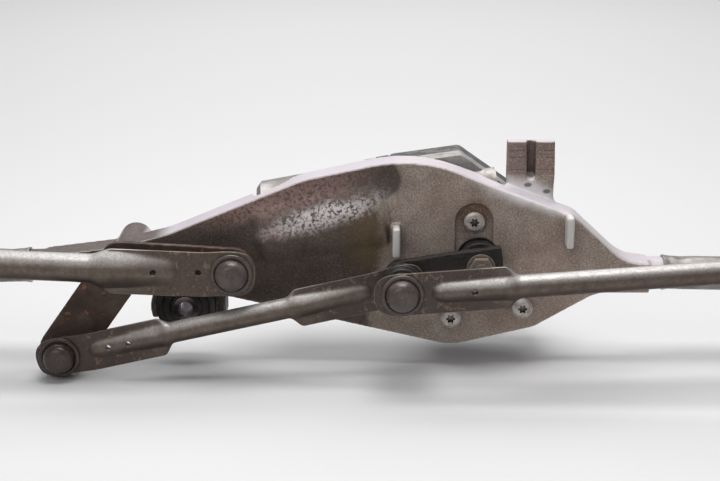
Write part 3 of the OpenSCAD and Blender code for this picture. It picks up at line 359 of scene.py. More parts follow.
def dirt_and_painted_light(tree, colour, pepper, across):
    """The carrier's colour with the grime settled on it, its painted shadow, shade, reflection and highlight,
    and the mask of the soot on its left half.
    """
    for at, reach in (((0.2, 0.0), 0.02), ((0.212, 0.034), 0.012), ((0.152, 0.062), 0.01)):
        rosy = zoned(tree, at, reach, edge=0.01, ragged=0.02, squash=(0.7, 1.0))
        colour = coated(tree, colour, rosy, 0.35, tone(140, 110, 100))
    field = zoned(tree, (-0.03, 0.08), reach=0.146, edge=0.004, ragged=0.018, squash=(1.0, 0.5))
    lobe = zoned(tree, (0.1165, 0.078), reach=0.0115, edge=0.002, ragged=0.01)
    soot = worked(tree, "MAXIMUM", field, lobe)
    grime = mixed(tree, patched(tree, 30.0, 0.5, 0.2), tone(102, 89, 80), tone(74, 63, 55))
    grime = coated(tree, grime, pepper, 0.5, tone(58, 46, 38))
    colour = mixed(tree, soot, colour, grime)
    oily = zoned(tree, (0.108, 0.042), reach=0.011, edge=0.008, ragged=0.012, squash=(1.0, 0.6))
    colour = coated(tree, colour, oily, 0.6, tone(116, 96, 66))
    # Painted shade: brown shading under the upper rim of the screw's pocket
    brown = zoned(tree, (0.1697, 0.0555), reach=0.01, edge=0.004, ragged=0.006)
    colour = coated(tree, colour, brown, 0.8, tone(92, 62, 36))
    spotty = patched(tree, 480.0, 0.47, 0.08)
    # Painted reflection: speckled reddish tint on the bulge's left side, the red surroundings mirrored in its
    # bare metal
    for at, narrow, reach in (((0.056, 0.066), 0.16, 0.0075), ((0.054, 0.047), 0.6, 0.005)):
        red_reflection = zoned(tree, at, reach, edge=0.004, ragged=0.014, squash=(narrow, 1.0), tilt=0.3)
        colour = coated(tree, colour, times(tree, red_reflection, spotty), 0.8, tone(148, 118, 112))
    # Bare worn speckle with a painted highlight: a pale band along the bulge's upper side where light glances
    # off it
    worn_highlight_band = zoned(tree, (0.0803, 0.0565), reach=0.0062, edge=0.004, ragged=0.014, squash=(0.2, 1.0),
                   tilt=0.3)
    colour = coated(tree, colour, worn_highlight_band, patched(tree, 520.0, 0.47, 0.09), tone(204, 196, 194))
    # Painted shadow: a near-black round patch near the carrier's lower left end, where it lies in deep shade
    deep_shadow = zoned(tree, (0.0, -0.002), reach=0.0235, edge=0.004, ragged=0.006)
    colour = coated(tree, colour, deep_shadow, 0.9, tone(34, 30, 29))
    neck = mixed(tree, pepper, tone(96, 83, 76), tone(70, 59, 53))
    return mixed(tree, stepped(tree, across, -0.024, -0.008, 0.9, 0.0), colour, neck), soot


STOPS_X = (0.1238, 0.225)
STOP_HALF = 0.0026
LUG_LEFT = 0.18
LUG_FOOT = 0.0772
LUG_TOP = 0.0955


def marks_and_sheen(tree, colour, spot, facing_up):
    """The carrier's colour with a painted sheen on its pale blasted top edge, its stops and lug, and the mask
    of the lug below its top.
    """
    # Painted sheen: a pale band on the rounded flange beside the lug, where the skin is blasted pale and
    # light glances off it
    flange_sheen = zoned(tree, (0.203, 0.067), reach=0.0055, edge=0.004, ragged=0.006, squash=(0.2, 1.0),
                   tilt=-0.33)
    colour = coated(tree, colour, flange_sheen, 0.95, tone(226, 221, 221))
    in_front = stepped(tree, spot["Y"], -0.003, -0.0015, 1.0, 0.0)
    for stop in STOPS_X:
        apart = worked(tree, "ABSOLUTE", worked(tree, "SUBTRACT", spot["X"], stop))
        rib = times(tree, stepped(tree, apart, STOP_HALF, STOP_HALF + 0.0005, 1.0, 0.0), in_front)
        colour = coated(tree, colour, rib, 0.95, tone(214, 210, 205))
    above_foot = stepped(tree, spot["Z"], LUG_FOOT, LUG_FOOT + 0.0006)
    lug = times(tree, above_foot, stepped(tree, spot["X"], LUG_LEFT, LUG_LEFT + 0.001))
    colour = coated(tree, colour, lug, 0.6, tone(118, 92, 87))
    below_top = times(tree, lug, stepped(tree, spot["Z"], LUG_TOP, LUG_TOP + 0.0007, 1.0, 0.0))
    ledges = times(tree, below_top, stepped(tree, facing_up, 0.2, 0.5))
    colour = coated(tree, colour, ledges, 0.9, tone(48, 36, 34))
    for at in ((0.2017, 0.0712), (0.2127, 0.0674)):
        oval = zoned(tree, at, reach=0.0013, edge=0.0005, ragged=0.002, squash=(0.6, 1.0))
        colour = coated(tree, colour, oval, 0.8, tone(66, 58, 50))
    return colour, below_top


def cast_aluminium(name, stains_and_painted_light):
    """Grainy aluminium, dulled brown-grey, with painted light where it faces up, painted glints, a painted
    highlight along its rounded top edge and painted shade in its corners; the flag adds the carrier's own
    stains with its painted shadow, shade, sheen, reflection and highlight.
    """
    material, tree, shader = new_material(name, metallic=0.3, Specular_IOR_Level=0.35)
    skin = effect(tree, grain, Scale=2300.0)
    cloudy = patched(tree, 45.0, 0.5, 0.18)
    pepper = patched(tree, 900.0, 0.5, 0.1)
    spot = split(tree, "Object")
    facing_up = split(tree, "Normal")["Z"]
    colour = mixed(tree, cloudy, tone(178, 163, 150), tone(147, 132, 120))
    colour = coated(tree, colour, pepper, 0.55, tone(106, 93, 83))
    # Painted glints: bright flecks of the grain that stand in for light caught by the cast skin
    painted_glint = times(tree, stepped(tree, skin["Fleck"], 0.8, 0.97), 0.32)
    # Painted light: faces turned up are paler, as if lit from above
    painted_top_light = times(tree, stepped(tree, facing_up, 0.5, 0.85), 0.85)
    # Painted highlight: a pale line where the rounded top edge turns toward the light
    top_edge_highlight = times(tree, stepped(tree, facing_up, 0.25, 0.45), stepped(tree, facing_up, 0.6, 0.85, 1.0, 0.0))
    top_edge_highlight = times(tree, top_edge_highlight, stepped(tree, spot["Y"], -0.001, 0.0005))
    if stains_and_painted_light:
        colour, soot = dirt_and_painted_light(tree, colour, pepper, spot["X"])
        colour, lug = marks_and_sheen(tree, colour, spot, facing_up)
        painted_glint = times(tree, painted_glint, rest_of(tree, times(tree, soot, 0.7)))
        painted_top_light = times(tree, painted_top_light, stepped(tree, spot["X"], -0.02, -0.006, 0.05, 1.0))
        painted_top_light = times(tree, painted_top_light, stepped(tree, spot["Y"], 0.0, 0.0015))
        painted_top_light = times(tree, painted_top_light, rest_of(tree, lug))
        top_edge_highlight = times(tree, top_edge_highlight, rest_of(tree, lug))
    colour = mixed(tree, painted_glint, colour, tone(216, 210, 203))
    colour = mixed(tree, painted_top_light, colour, tone(200, 193, 198))
    colour = coated(tree, colour, top_edge_highlight, 0.6, tone(228, 222, 220))
    wear = effect(tree, worn_edges, Width=0.0024, Broken=0.5)["Mask"]
    colour = coated(tree, colour, wear, 0.75, tone(216, 209, 203))
    # Painted shade: corners and recesses darkened by how far they close off the sky
    corner = effect(tree, crevice_shade, Distance=0.006)["Mask"]
    colour = coated(tree, colour, corner, 0.75, tone(46, 38, 34))
    surfaced(tree, shader, colour, cloudy, (0.42, 0.6), skin["Height"], 0.0004)
    return material


SOFT_EDGE = [Vector(p) for p in ((0.148, 0, 0.087), (0.229, 0, 0.056), (0.262, 0, 0.027))]
SOFT_NEAR = 0.007
SOFT_FAR = 0.013
LUG_BASE = Vector((0.2034, 0.0175, 0.0655))
FLANGE_BEND_X = 0.07
FLANGE_BEND_Z = 0.0764
FLANGE_SLOPES = (0.4, 0.214)


def ease(value, low, high):
    """A smooth step from 0 at low to 1 at high."""
    share = min(1.0, max(0.0, (value - low) / (high - low)))
    return share * share * (3 - 2 * share)


def soft_bulge(place):
    """How far a place belongs to the bulge over the motor, below the top flange and clear of the stop."""
    beyond_bend = place.x - FLANGE_BEND_X
    flange = FLANGE_BEND_Z + beyond_bend * (FLANGE_SLOPES[0] if beyond_bend < 0 else FLANGE_SLOPES[1])
    beside_stop = ease(place.x, 0.113, 0.117) * (1 - ease(place.z, 0.057, 0.06))
    inside = ease(place.x, 0.03, 0.036) * (1 - ease(place.x, 0.124, 0.128)) * ease(place.z, 0.018, 0.024)
    return inside * (1 - ease(place.z, flange - 0.003, flange)) * (1 - beside_stop)


def soft_casting(place):
    """How far a place on the carrier belongs to the top edge beside the lug, the lug's foot or the bulge."""
    if 0.03 < place.x < 0.128 and 0.018 < place.z and -0.03 < place.y < 0.0015:
        return soft_bulge(place)
    if place.x < SOFT_EDGE[0].x or place.z < SOFT_EDGE[-1].z - SOFT_FAR or not -0.001 < place.y < 0.031:
        return 0
    flat = Vector((place.x, 0, place.z))
    reach = []
    for first, second in zip(SOFT_EDGE, SOFT_EDGE[1:]):
        way = second - first
        share = min(1.0, max(0.0, (flat - first).dot(way) / way.length_squared))
        reach.append((flat - first - way * share).length)
    edge = 1 - ease(min(reach), SOFT_NEAR, SOFT_FAR)
    edge *= ease(place.x, 0.15, 0.185) * (1 - ease(place.y, 0.007, 0.012))
    foot = LUG_BASE - place
    foot.x *= 0.5
    return max(edge, 1 - ease(foot.length, 0.0085, 0.0125))


carrier = melted("motor_carrier", "carrier_casting", CAST_VOXEL, 6, soft_casting)
dressed(carrier, cast_aluminium("carrier_aluminium", True))

# Spindle housings: smaller castings of the same aluminium, one at each end, with an ear for the end mount.
# Sintered bronze bushes are pressed into them, into the bellcrank's boss and into the gear motor.
housing_aluminium = cast_aluminium("housing_aluminium", False)
for side in ("left", "right"):
    housing = melted(f"{side}_spindle_housing", f"{side}_housing_casting", CAST_VOXEL, 4)
    dressed(housing, housing_aluminium)


def metal(name, main, shade, worn, metallic=0.8, rough=(0.35, 0.55), scale=120.0, relief=0.00006,
          recess=0.0022):
    """A metal with cloudy tones, a fine skin, edges worn to a brighter tone and painted shade in its
    recesses.
    """
    material, tree, shader = new_material(name, metallic=metallic)
    cloudy = patched(tree, scale, 0.5, 0.15)
    skin = effect(tree, grain, Scale=2400.0)
    wear = effect(tree, worn_edges, Width=0.0005, Broken=0.7)["Mask"]
    colour = mixed(tree, cloudy, main, shade)
    colour = mixed(tree, wear, colour, worn)
    # Painted shade: recesses darkened by how far they close off the sky
    recess_shade = effect(tree, crevice_shade, Distance=recess)["Mask"]
    colour = coated(tree, colour, recess_shade, 0.9, tone(34, 29, 27))
    surfaced(tree, shader, colour, cloudy, rough, skin["Height"], relief)
    return material


def finish_nodes(material, *names):
    """Gives CAD nodes that keep their shape a finish."""
    for name in names:
        dressed(nodes[name], material)


bronze = metal("sintered_bronze", tone(152, 116, 70), tone(120, 88, 52), tone(190, 154, 100))
finish_nodes(bronze, "left_spindle_bushes", "right_spindle_bushes", "bellcrank_bushes", "output_bush",
             "armature_bearings")

# Frame tubes: two galvanised steel tubes that slide over the castings' spigots.
# Each end is swaged a little wider, and three dents crimped through it lock it on.


def smooth_piece(name, skin, work):
    """A piece with its mesh filled from work, faces turned outward and shaded smooth."""
    bmesh.ops.recalc_face_normals(work, faces=work.faces)
    work.to_mesh(skin)
    work.free()
    skin.shade_smooth()
    piece = bpy.data.objects.new(name, skin)
    scene.collection.objects.link(piece)
    return piece


def lofted(name, rings, closed=True):
    """A skin over a row of rings of points; closed fills its ends."""
    skin = bpy.data.meshes.new(name)
    count = len(rings[0])
    faces = []
    for row in range(len(rings) - 1):
        for i in range(count):
            j = (i + 1) % count
            faces.append((row * count + i, row * count + j, (row + 1) * count + j, (row + 1) * count + i))
    if closed:
        faces.append(tuple(reversed(range(count))))
        faces.append(tuple((len(rings) - 1) * count + i for i in range(count)))
    skin.from_pydata([p for ring in rings for p in ring], [], faces)
    work = bmesh.new()
    work.from_mesh(skin)
    return smooth_piece(name, skin, work)


galvanised = metal("galvanised_steel", tone(152, 147, 144), tone(122, 116, 112), tone(190, 186, 183),
                   metallic=0.7, rough=(0.3, 0.5), scale=70.0, relief=0.0001)
TUBE_R = 0.010
TUBE_BORE_R = 0.0085
SWAGE = 0.0006
SWAGE_LEN = 0.004
CRIMP_AT = 0.011
CRIMP_LEN = 0.0035
CRIMP_DEPTH = 0.0012
CRIMP_SPREAD = 0.35
CRIMP_TURNS = [math.radians(a) for a in (90, 210, 330)]
TUBE_STEPS = 60
TUBE_TURNS = [2 * math.pi * i / TUBE_STEPS for i in range(TUBE_STEPS)]
TUBE_SPANS = 40
END_STEP = 0.001
END_STEPS = 20


def tube_radius(along, length, turn):
    """The tube's outside radius, with the swaged ends and the crimped dents."""
    end = min(along, length - along)
    turned_by = [math.remainder(turn - t, 2 * math.pi) for t in CRIMP_TURNS]
    dent = max(math.exp(-((angle / CRIMP_SPREAD) ** 2)) for angle in turned_by)
    dent *= math.exp(-(((end - CRIMP_AT) / CRIMP_LEN) ** 2))
    return TUBE_R + SWAGE * (1 - ease(end, 0, SWAGE_LEN)) - CRIMP_DEPTH * dent


for side in ("left", "right"):
    node = f"{side}_frame_tube"
    points = [v.co for v in nodes[node].data.vertices]
    ends = []
    for edge_x in (min(p.x for p in points), max(p.x for p in points)):
        face = [p for p in points if abs(p.x - edge_x) < 0.35 * TUBE_R]
        ends.append(sum(face, Vector()) / len(face))
    start, finish = ends
    way = (finish - start).normalized()
    across = Vector((0, -1, 0))
    up = across.cross(way)
    length = (finish - start).length
    spans = {length * i / TUBE_SPANS for i in range(TUBE_SPANS + 1)}
    fine = {i * END_STEP for i in range(END_STEPS)}
    stations = sorted(spans | fine | {length - x for x in fine})
    spokes = [(t, across * math.cos(t) + up * math.sin(t)) for t in TUBE_TURNS]
    outside = [[start + way * x + spoke * tube_radius(x, length, t) for t, spoke in spokes] for x in stations]
    inside = [[start + way * x + spoke * TUBE_BORE_R for t, spoke in spokes] for x in (length, 0.0)]
    tube = lofted(f"{side}_galvanised_tube", outside + inside + outside[:1], closed=False)
    tube.data.materials.append(galvanised)
    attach(tube, "frame")
    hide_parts(node)

# Mounts: black rubber grommets in the carrier's fork and the two ears, each with a steel sleeve for its bolt.
# The rubber is moulded with round lips, and grey dust sits on it; the output shaft's seal is of the same.
TURNED_STEPS = 72
FILLET_STEPS = 4


def middle(node, depth):
    """The middle of a node's box, moved to a depth."""
    low_corner, high_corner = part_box(node)
    centre = (low_corner + high_corner) / 2
    centre.y = depth
    return centre


def fillet(points, radius):
    """A closed outline with its corners rounded, except those on the axis."""
    made = []
    for i, corner in enumerate(points):
        if corner[0] == 0:
            made.append(Vector(corner))
            continue
        before, after = Vector(points[i - 1]), Vector(points[(i + 1) % len(points)])
        corner = Vector(corner)
        back, on = before - corner, after - corner
        cut = min(radius, 0.45 * back.length, 0.45 * on.length)
        first, last = corner + back.normalized() * cut, corner + on.normalized() * cut
        for step in range(FILLET_STEPS + 1):
            share = step / FILLET_STEPS
            made.append(first * (1 - share) ** 2 + corner * 2 * share * (1 - share) + last * share ** 2)
    return made


def turned(name, spins, radius, body, node):
    """A piece turned from closed outlines of radii and heights, each about its centre, in place of a node."""
    work = bmesh.new()
    for centre, outline in spins:
        soft = fillet(outline, radius)
        rings = []
        for step in range(TURNED_STEPS):
            turn = 2 * math.pi * step / TURNED_STEPS
            side = Vector((math.cos(turn), 0, math.sin(turn)))
            rings.append([work.verts.new(centre + side * r - Vector((0, h, 0))) for r, h in soft])
        for first, second in zip(rings, rings[1:] + rings[:1]):
            for i in range(len(soft)):
                work.faces.new((first[i - 1], first[i], second[i], second[i - 1]))
    bmesh.ops.remove_doubles(work, verts=work.verts, dist=1e-6)
    piece = smooth_piece(name, bpy.data.meshes.new(name), work)
    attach(piece, body)
    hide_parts(node)
    return piece


def moulded(name, main, dust, rough, relief):
    """Moulded rubber or plastic with dust in its grain and painted shade in its recesses."""
    material, tree, shader = new_material(name, Specular_IOR_Level=0.4)
    cloudy = patched(tree, 90.0, 0.55, 0.12)
    skin = effect(tree, grain, Scale=1800.0)
    wear = effect(tree, worn_edges, Width=0.0006, Broken=0.8)["Mask"]
    colour = coated(tree, main, cloudy, 0.6, dust)
    colour = coated(tree, colour, wear, 0.5, dust)
    # Painted shade: recesses darkened by how far they close off the sky
    recess = effect(tree, crevice_shade, Distance=0.003)["Mask"]
    colour = coated(tree, colour, recess, 0.8, tone(24, 20, 19))
    surfaced(tree, shader, colour, cloudy, rough, skin["Height"], relief)
    return material


rubber = moulded("black_rubber", tone(30, 28, 28), tone(74, 68, 64), (0.45, 0.7), 0.00008)
bright_steel = metal("bright_steel", tone(196, 192, 188), tone(168, 162, 156), tone(222, 219, 215),
                     metallic=0.9, rough=(0.22, 0.4))
sleeve_steel = metal("sleeve_steel", tone(118, 108, 106), tone(84, 76, 76), tone(176, 168, 166),
                     metallic=0.95, rough=(0.12, 0.25))
GROMMET_BORE = 0.0058
LIP_TOP = 0.003
LIP_FOOT = 0.004
LIP_RISE = 0.002
WAIST_DEPTH = 0.0024
WAIST_FROM_FACE = 0.002
for place_name in ("centre", "left", "right"):
    grommet_low, grommet_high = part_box(f"{place_name}_grommet")
    centre = middle(f"{place_name}_sleeve", 0)
    rim = (grommet_high.x - grommet_low.x) / 2
    back, front = -grommet_high.y, -grommet_low.y
    hollow = front - LIP_RISE
    outline = [(GROMMET_BORE, back), (rim, back), (rim, front), (rim - LIP_TOP, front),
               (rim - LIP_FOOT, hollow),
               (GROMMET_BORE + LIP_FOOT, hollow), (GROMMET_BORE + LIP_TOP, front), (GROMMET_BORE, front)]
    if place_name != "centre":
        waist = rim - WAIST_DEPTH
        low, high = back + WAIST_FROM_FACE, front - WAIST_FROM_FACE
        outline[2:2] = [(rim, low), (waist, low), (waist, high), (rim, high)]
    grommet_node = f"{place_name}_grommet"
    grommet = turned(f"{place_name}_rubber_grommet", [(centre, outline)], 0.0008, "frame", grommet_node)
    grommet.data.materials.append(rubber)
    finish_nodes(sleeve_steel if place_name == "centre" else bright_steel, f"{place_name}_sleeve")
SEAL = [(0.00605, 0.005), (0.01155, 0.005), (0.01155, -0.002), (0.0126, -0.002), (0.0126, 0.0065),
        (0.00605, 0.0065)]
seal = turned("output_rubber_seal", [(middle("output_seal", 0), SEAL)], 0.0007, "frame", "output_seal")
seal.data.materials.append(rubber)

# Gear motor: a drawn steel can, an aluminium gearbox and its back cover with a connector for the loom.
# Inside are the magnets, brushes, board, worm shaft and wheel, each with the finish of its own material.
can_steel = metal("can_steel", tone(158, 154, 150), tone(122, 117, 112), tone(192, 188, 184),
                  metallic=0.75, rough=(0.35, 0.55), scale=60.0)
box_aluminium = metal("gearbox_aluminium", tone(172, 168, 163), tone(138, 132, 126), tone(208, 204, 200),
                      metallic=0.6, rough=(0.4, 0.6), scale=90.0, relief=0.0002)
cover_aluminium = metal("cover_aluminium", tone(104, 103, 100), tone(72, 70, 68), tone(216, 212, 208),
                        metallic=0.6, rough=(0.4, 0.6), scale=140.0, relief=0.0002)
copper = metal("copper", tone(186, 116, 76), tone(150, 88, 56), tone(214, 150, 110),
               metallic=0.9, rough=(0.25, 0.45), scale=200.0)
core_steel = metal("core_steel", tone(118, 116, 114), tone(92, 90, 88), tone(150, 148, 146),
                   metallic=0.8, rough=(0.35, 0.5), scale=300.0)
screw_zinc = metal("screw_zinc", tone(186, 180, 174), tone(156, 146, 138), tone(222, 218, 213),
                   metallic=0.7, rough=(0.3, 0.5), scale=260.0, relief=0.00008, recess=0.005)
ferrite = moulded("ferrite", tone(58, 57, 60), tone(84, 82, 82), (0.5, 0.7), 0.0001)
board = moulded("board_laminate", tone(38, 84, 56), tone(96, 128, 92), (0.35, 0.5), 0.00004)
brush_card = moulded("brush_card", tone(112, 76, 48), tone(138, 104, 72), (0.5, 0.7), 0.00006)
carbon = moulded("carbon", tone(36, 36, 38), tone(70, 70, 72), (0.4, 0.6), 0.00006)
wheel_plastic = moulded("wheel_plastic", tone(214, 206, 186), tone(176, 164, 140), (0.35, 0.5), 0.00004)
finish_nodes(can_steel, "motor_can")
finish_nodes(ferrite, "motor_magnets")
finish_nodes(box_aluminium, "gearbox_housing")
finish_nodes(cover_aluminium, "gearbox_cover")
finish_nodes(screw_zinc, "cover_screws", "carrier_screws", "can_screws")
finish_nodes(bright_steel, "connector_pins", "armature_shaft", "bellcrank_spindle", "left_spindle",
             "right_spindle")
finish_nodes(board, "circuit_board")
finish_nodes(brush_card, "brush_plate")
finish_nodes(carbon, "carbon_brushes")
finish_nodes(copper, "armature_winding", "commutator")
finish_nodes(core_steel, "armature_core")
finish_nodes(wheel_plastic, "worm_wheel")

# Crank: a black forged arm held on the output shaft by a zinc nut, with a double ball stud at its free end.
# Its skin is rough from the forge, and its paint is worn through on the corners.
black_steel = metal("black_steel", tone(32, 28, 26), tone(48, 41, 36), tone(128, 114, 101),
                    metallic=0.2, rough=(0.5, 0.75), scale=160.0, relief=0.0004)
ARM_VOXEL = 0.0005
ARM_PASSES = 3
ROUGH_STEP = 420.0
ROUGH_DEPTH = 0.0004
crank = melted("crank_arm", "crank_forging", ARM_VOXEL, ARM_PASSES)
for vertex in crank.data.vertices:
    vertex.co += vertex.normal * noise.noise(vertex.co * ROUGH_STEP) * ROUGH_DEPTH
dressed(crank, black_steel)
nut_zinc = metal("nut_zinc", tone(154, 143, 131), tone(124, 111, 99), tone(192, 183, 172),
                 metallic=0.6, rough=(0.4, 0.6), scale=180.0)
dark_steel = metal("dark_steel", tone(92, 84, 78), tone(66, 56, 50), tone(132, 122, 114),
                   metallic=0.7, rough=(0.4, 0.6), scale=140.0)
finish_nodes(nut_zinc, "crank_nut", "output_shaft")
finish_nodes(dark_steel, "crank_ball_stud", "output_circlip", "lower_ball_stud", "upper_ball_stud",
             "left_lever_stud", "right_lever_stud", "bellcrank_washers", "bellcrank_circlip", "left_washers",
             "left_circlip", "right_washers", "right_circlip")

# Rods: zinc-plated steel tubes rolled up from sheet, their ends pressed flat with a bead along the middle.
# Each flat end carries a plastic ball socket, and most are drilled; dirt and rust gather on the flats.


def rod_zinc(name, ends, out, rust):
    """Dull zinc with a painted highlight on top and brown painted shade below, and rust of two tones on the
    flats at its ends.
    """
    material, tree, shader = new_material(name, Specular_IOR_Level=0.35)
    cloudy = patched(tree, 170.0, 0.5, 0.22)
    pepper = patched(tree, 800.0, 0.5, 0.15)
    skin = effect(tree, grain, Scale=2100.0)
    facing_up = split(tree, "Normal")["Z"]
    colour = mixed(tree, cloudy, tone(112, 101, 93), tone(94, 83, 75))
    # Painted highlight: the upper side paler where the light falls on it
    colour = mixed(tree, stepped(tree, facing_up, 0.2, 0.95), colour, tone(174, 171, 167))
    # Painted shade: the underside dark brown where it lies in shade
    colour = mixed(tree, stepped(tree, facing_up, -0.8, -0.1, 1.0, 0.0), colour, tone(58, 46, 40))
    flat = stepped(tree, split(tree, "Object")["Y"], -out - 0.0026, -out - 0.0012)
    rusty = mixed(tree, pepper, *rust)
    rusty = coated(tree, rusty, patched(tree, 230.0, 0.6, 0.04), 0.45, tone(156, 130, 108))
    first, last = (zoned(tree, (end.x, end.z), reach=0.054, edge=0.014, ragged=0.02) for end in ends)
    eaten = times(tree, worked(tree, "MAXIMUM", first, last), flat)
    colour = coated(tree, colour, eaten, 0.95, rusty)
    tree.links.new(stepped(tree, eaten, 0.0, 1.0, 0.55, 0.1), shader["Metallic"])
    colour = coated(tree, colour, pepper, 0.34, tone(80, 66, 56))
    wear = effect(tree, worn_edges, Width=0.0006, Broken=0.5)["Mask"]
    colour = coated(tree, colour, wear, 0.7, tone(200, 190, 180))
    surfaced(tree, shader, colour, cloudy, (0.34, 0.5), skin["Height"], 0.00012)
    return material


PLATE_T = 0.002
BEAD_DROP = 0.0004
BEAD_LOW_W = 0.6
BEAD_CROWN = 1.2
NOSE_BLUNT = 0.3
SOCKET_HOLE_R = 0.0109
SEAM_DEPTH = 0.0007
RING_POINTS = 96
EDGE_SHARP = 7.0
TIP_SQUARE = 2.7
TIP_STEPS = 20
TIP_END = 0.9999
ROUND_LEAD = 0.004
NARROW_LEAD = 0.001
NARROW_SHARE = 0.75
DROP_LEN = 0.02
ROD_STEP = 0.0008
PAST_SHOULDER = 0.002
LOW_BALLS = 0.025
HIGH_BALLS = 0.045
# Each rod's studs, how far out their balls stand and the radius of its round part; the length of its flat
# ends, their tip, half width, drop and shoulder; where their bead starts, the length of its nose, how low it
# starts and how wide it spreads; the tones of their rust; where each is drilled, and the radius of the drill
RODS = {
    "left_drive_rod": {
        "studs": ("crank_ball_stud", "lower_ball_stud"), "out": LOW_BALLS, "radius": 0.0061,
        "flat": 0.061, "tip": 0.0136, "half": 0.0113, "drop": 0.0012, "shoulder": 0.0086,
        "bead": 0.0175, "nose": 0.006, "low": 0.52, "spread": 1.15,
        "rust": (tone(70, 57, 49), tone(50, 40, 34)),
        "holes": ([], [0.0297, 0.0416]), "drill": 0.0015,
    },
    "left_link_rod": {
        "studs": ("upper_ball_stud", "left_lever_stud"), "out": LOW_BALLS, "radius": 0.0083,
        "flat": 0.069, "tip": 0.0136, "half": 0.0133, "drop": 0.0012, "shoulder": 0.017,
        "bead": 0.031, "nose": 0.0045, "low": 0.45, "spread": 1.35,
        "rust": (tone(88, 74, 64), tone(66, 54, 46)),
        "holes": ([0.0191, 0.0443], [0.0191, 0.0443]), "drill": 0.0018,
    },
    "right_drive_rod": {
        "studs": ("crank_ball_stud", "right_lever_stud"), "out": HIGH_BALLS, "radius": 0.0066,
        "flat": 0.0585, "tip": 0.016, "half": 0.0122, "drop": 0.0, "shoulder": 0.011,
        "bead": 0.0165, "nose": 0.0065, "low": 0.82, "spread": 1.08,
        "rust": (tone(76, 64, 57), tone(56, 46, 41)),
        "holes": ([0.0405], [0.0405]), "drill": 0.0017,
    },
}


def rod_ring(along, rod):
    """One section of a rod, at a distance from the middle of its nearest socket: points across and out."""
    half, radius = rod["half"], rod["radius"]
    if along < 0:
        half *= max(0.0, 1 - (-along / rod["tip"]) ** TIP_SQUARE) ** (1 / TIP_SQUARE)
    rounding = ease(along, rod["flat"] - ROUND_LEAD, rod["flat"] + rod["shoulder"])
    narrowing = ease(along, rod["flat"] - NARROW_LEAD, rod["flat"] + NARROW_SHARE * rod["shoulder"])
    half += (radius - half) * narrowing
    middle_drop = rod["drop"] * ease(along, 0.0, DROP_LEN) * (1 - narrowing)
    nose = min(1.0, max(0.0, (along - rod["bead"]) / rod["nose"]))
    swell = rod["low"] + (1 - rod["low"]) * ease(along, rod["bead"], rod["flat"])
    bead_h = (radius - BEAD_DROP) * swell * math.sqrt(1 - (1 - nose) ** 2)
    bead_half = rod["spread"] * radius * (BEAD_LOW_W + (1 - BEAD_LOW_W) * swell) * nose ** NOSE_BLUNT
    ring = []
    for i in range(RING_POINTS):
        turn = 2 * math.pi * i / RING_POINTS
        across, rise = half * math.cos(turn) - middle_drop, math.sin(turn)
        flat_out = math.copysign(PLATE_T / 2 * math.tanh(EDGE_SHARP * abs(rise)), rise)
        if rise > 0 and nose > 0:
            share = max(0.0, 1 - (across / bead_half) ** 2)
            flat_out = max(flat_out, PLATE_T / 2 + (bead_h - PLATE_T / 2) * share ** BEAD_CROWN)
        seam = SEAM_DEPTH if i == 3 * RING_POINTS // 4 else 0.0
        round_out = (radius - seam) * rise
        ring.append((across, flat_out + (round_out - flat_out) * rounding))
    return ring


DRILL_LEN = 0.06
DRILL_SIDES = 32


def drilled(piece, holes):
    """Drills straight holes through a piece, given as places, a direction and a radius."""
    cutter = bpy.data.meshes.new("drill")
    work = bmesh.new()
    for place, way, radius in holes:
        turn = way.to_track_quat("Z", "Y").to_matrix().to_4x4()
        bmesh.ops.create_cone(work, cap_ends=True, segments=DRILL_SIDES, radius1=radius, radius2=radius,
                              depth=DRILL_LEN, matrix=Matrix.Translation(place) @ turn)
    work.to_mesh(cutter)
    work.free()
    drill = bpy.data.objects.new("drill", cutter)
    scene.collection.objects.link(drill)
    boolean = piece.modifiers.new("drill", "BOOLEAN")
    boolean.operation = "DIFFERENCE"
    boolean.solver = "EXACT"
    boolean.object = drill
    settled(piece)
    bpy.data.objects.remove(drill)


def rolled_rod(name, rod):
    """A rod between the balls of two studs, in place of its node; gives the middles of its sockets."""
    start, finish = (middle(stud, -rod["out"]) for stud in rod["studs"])
    way = (finish - start).normalized()
    front = Vector((0, -1, 0))
    up = (Vector((0, 0, 1)) - way * way.z).normalized()
    length = (finish - start).length
    fine = [-rod["tip"] * math.cos(math.pi * i / (2 * TIP_STEPS)) for i in range(TIP_STEPS)]
    fine[0] = -rod["tip"] * TIP_END
    fine += [i * ROD_STEP for i in range(int((rod["flat"] + rod["shoulder"] + PAST_SHOULDER) / ROD_STEP))]
    stations = [(x, x) for x in fine] + [(length - x, x) for x in reversed(fine)]
    rings = [
        [start + way * x + up * across + front * rise for across, rise in rod_ring(along, rod)]
        for x, along in stations
    ]
    piece = lofted(f"{name}_rolled", rings)
    smoothing(piece, 2)
    settled(piece)
    holes = [(start, front, SOCKET_HOLE_R), (finish, front, SOCKET_HOLE_R)]
    holes += [(start + way * x, front, rod["drill"]) for x in rod["holes"][0]]
    holes += [(finish - way * x, front, rod["drill"]) for x in rod["holes"][1]]
    drilled(piece, holes)
    piece.data.materials.append(rod_zinc(f"{name}_zinc", (start, finish), rod["out"], rod["rust"]))
    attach(piece, nodes[name]["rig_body"])
    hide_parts(name)
    return start, finish


rod_ends = {name: rolled_rod(name, rod) for name, rod in RODS.items()}

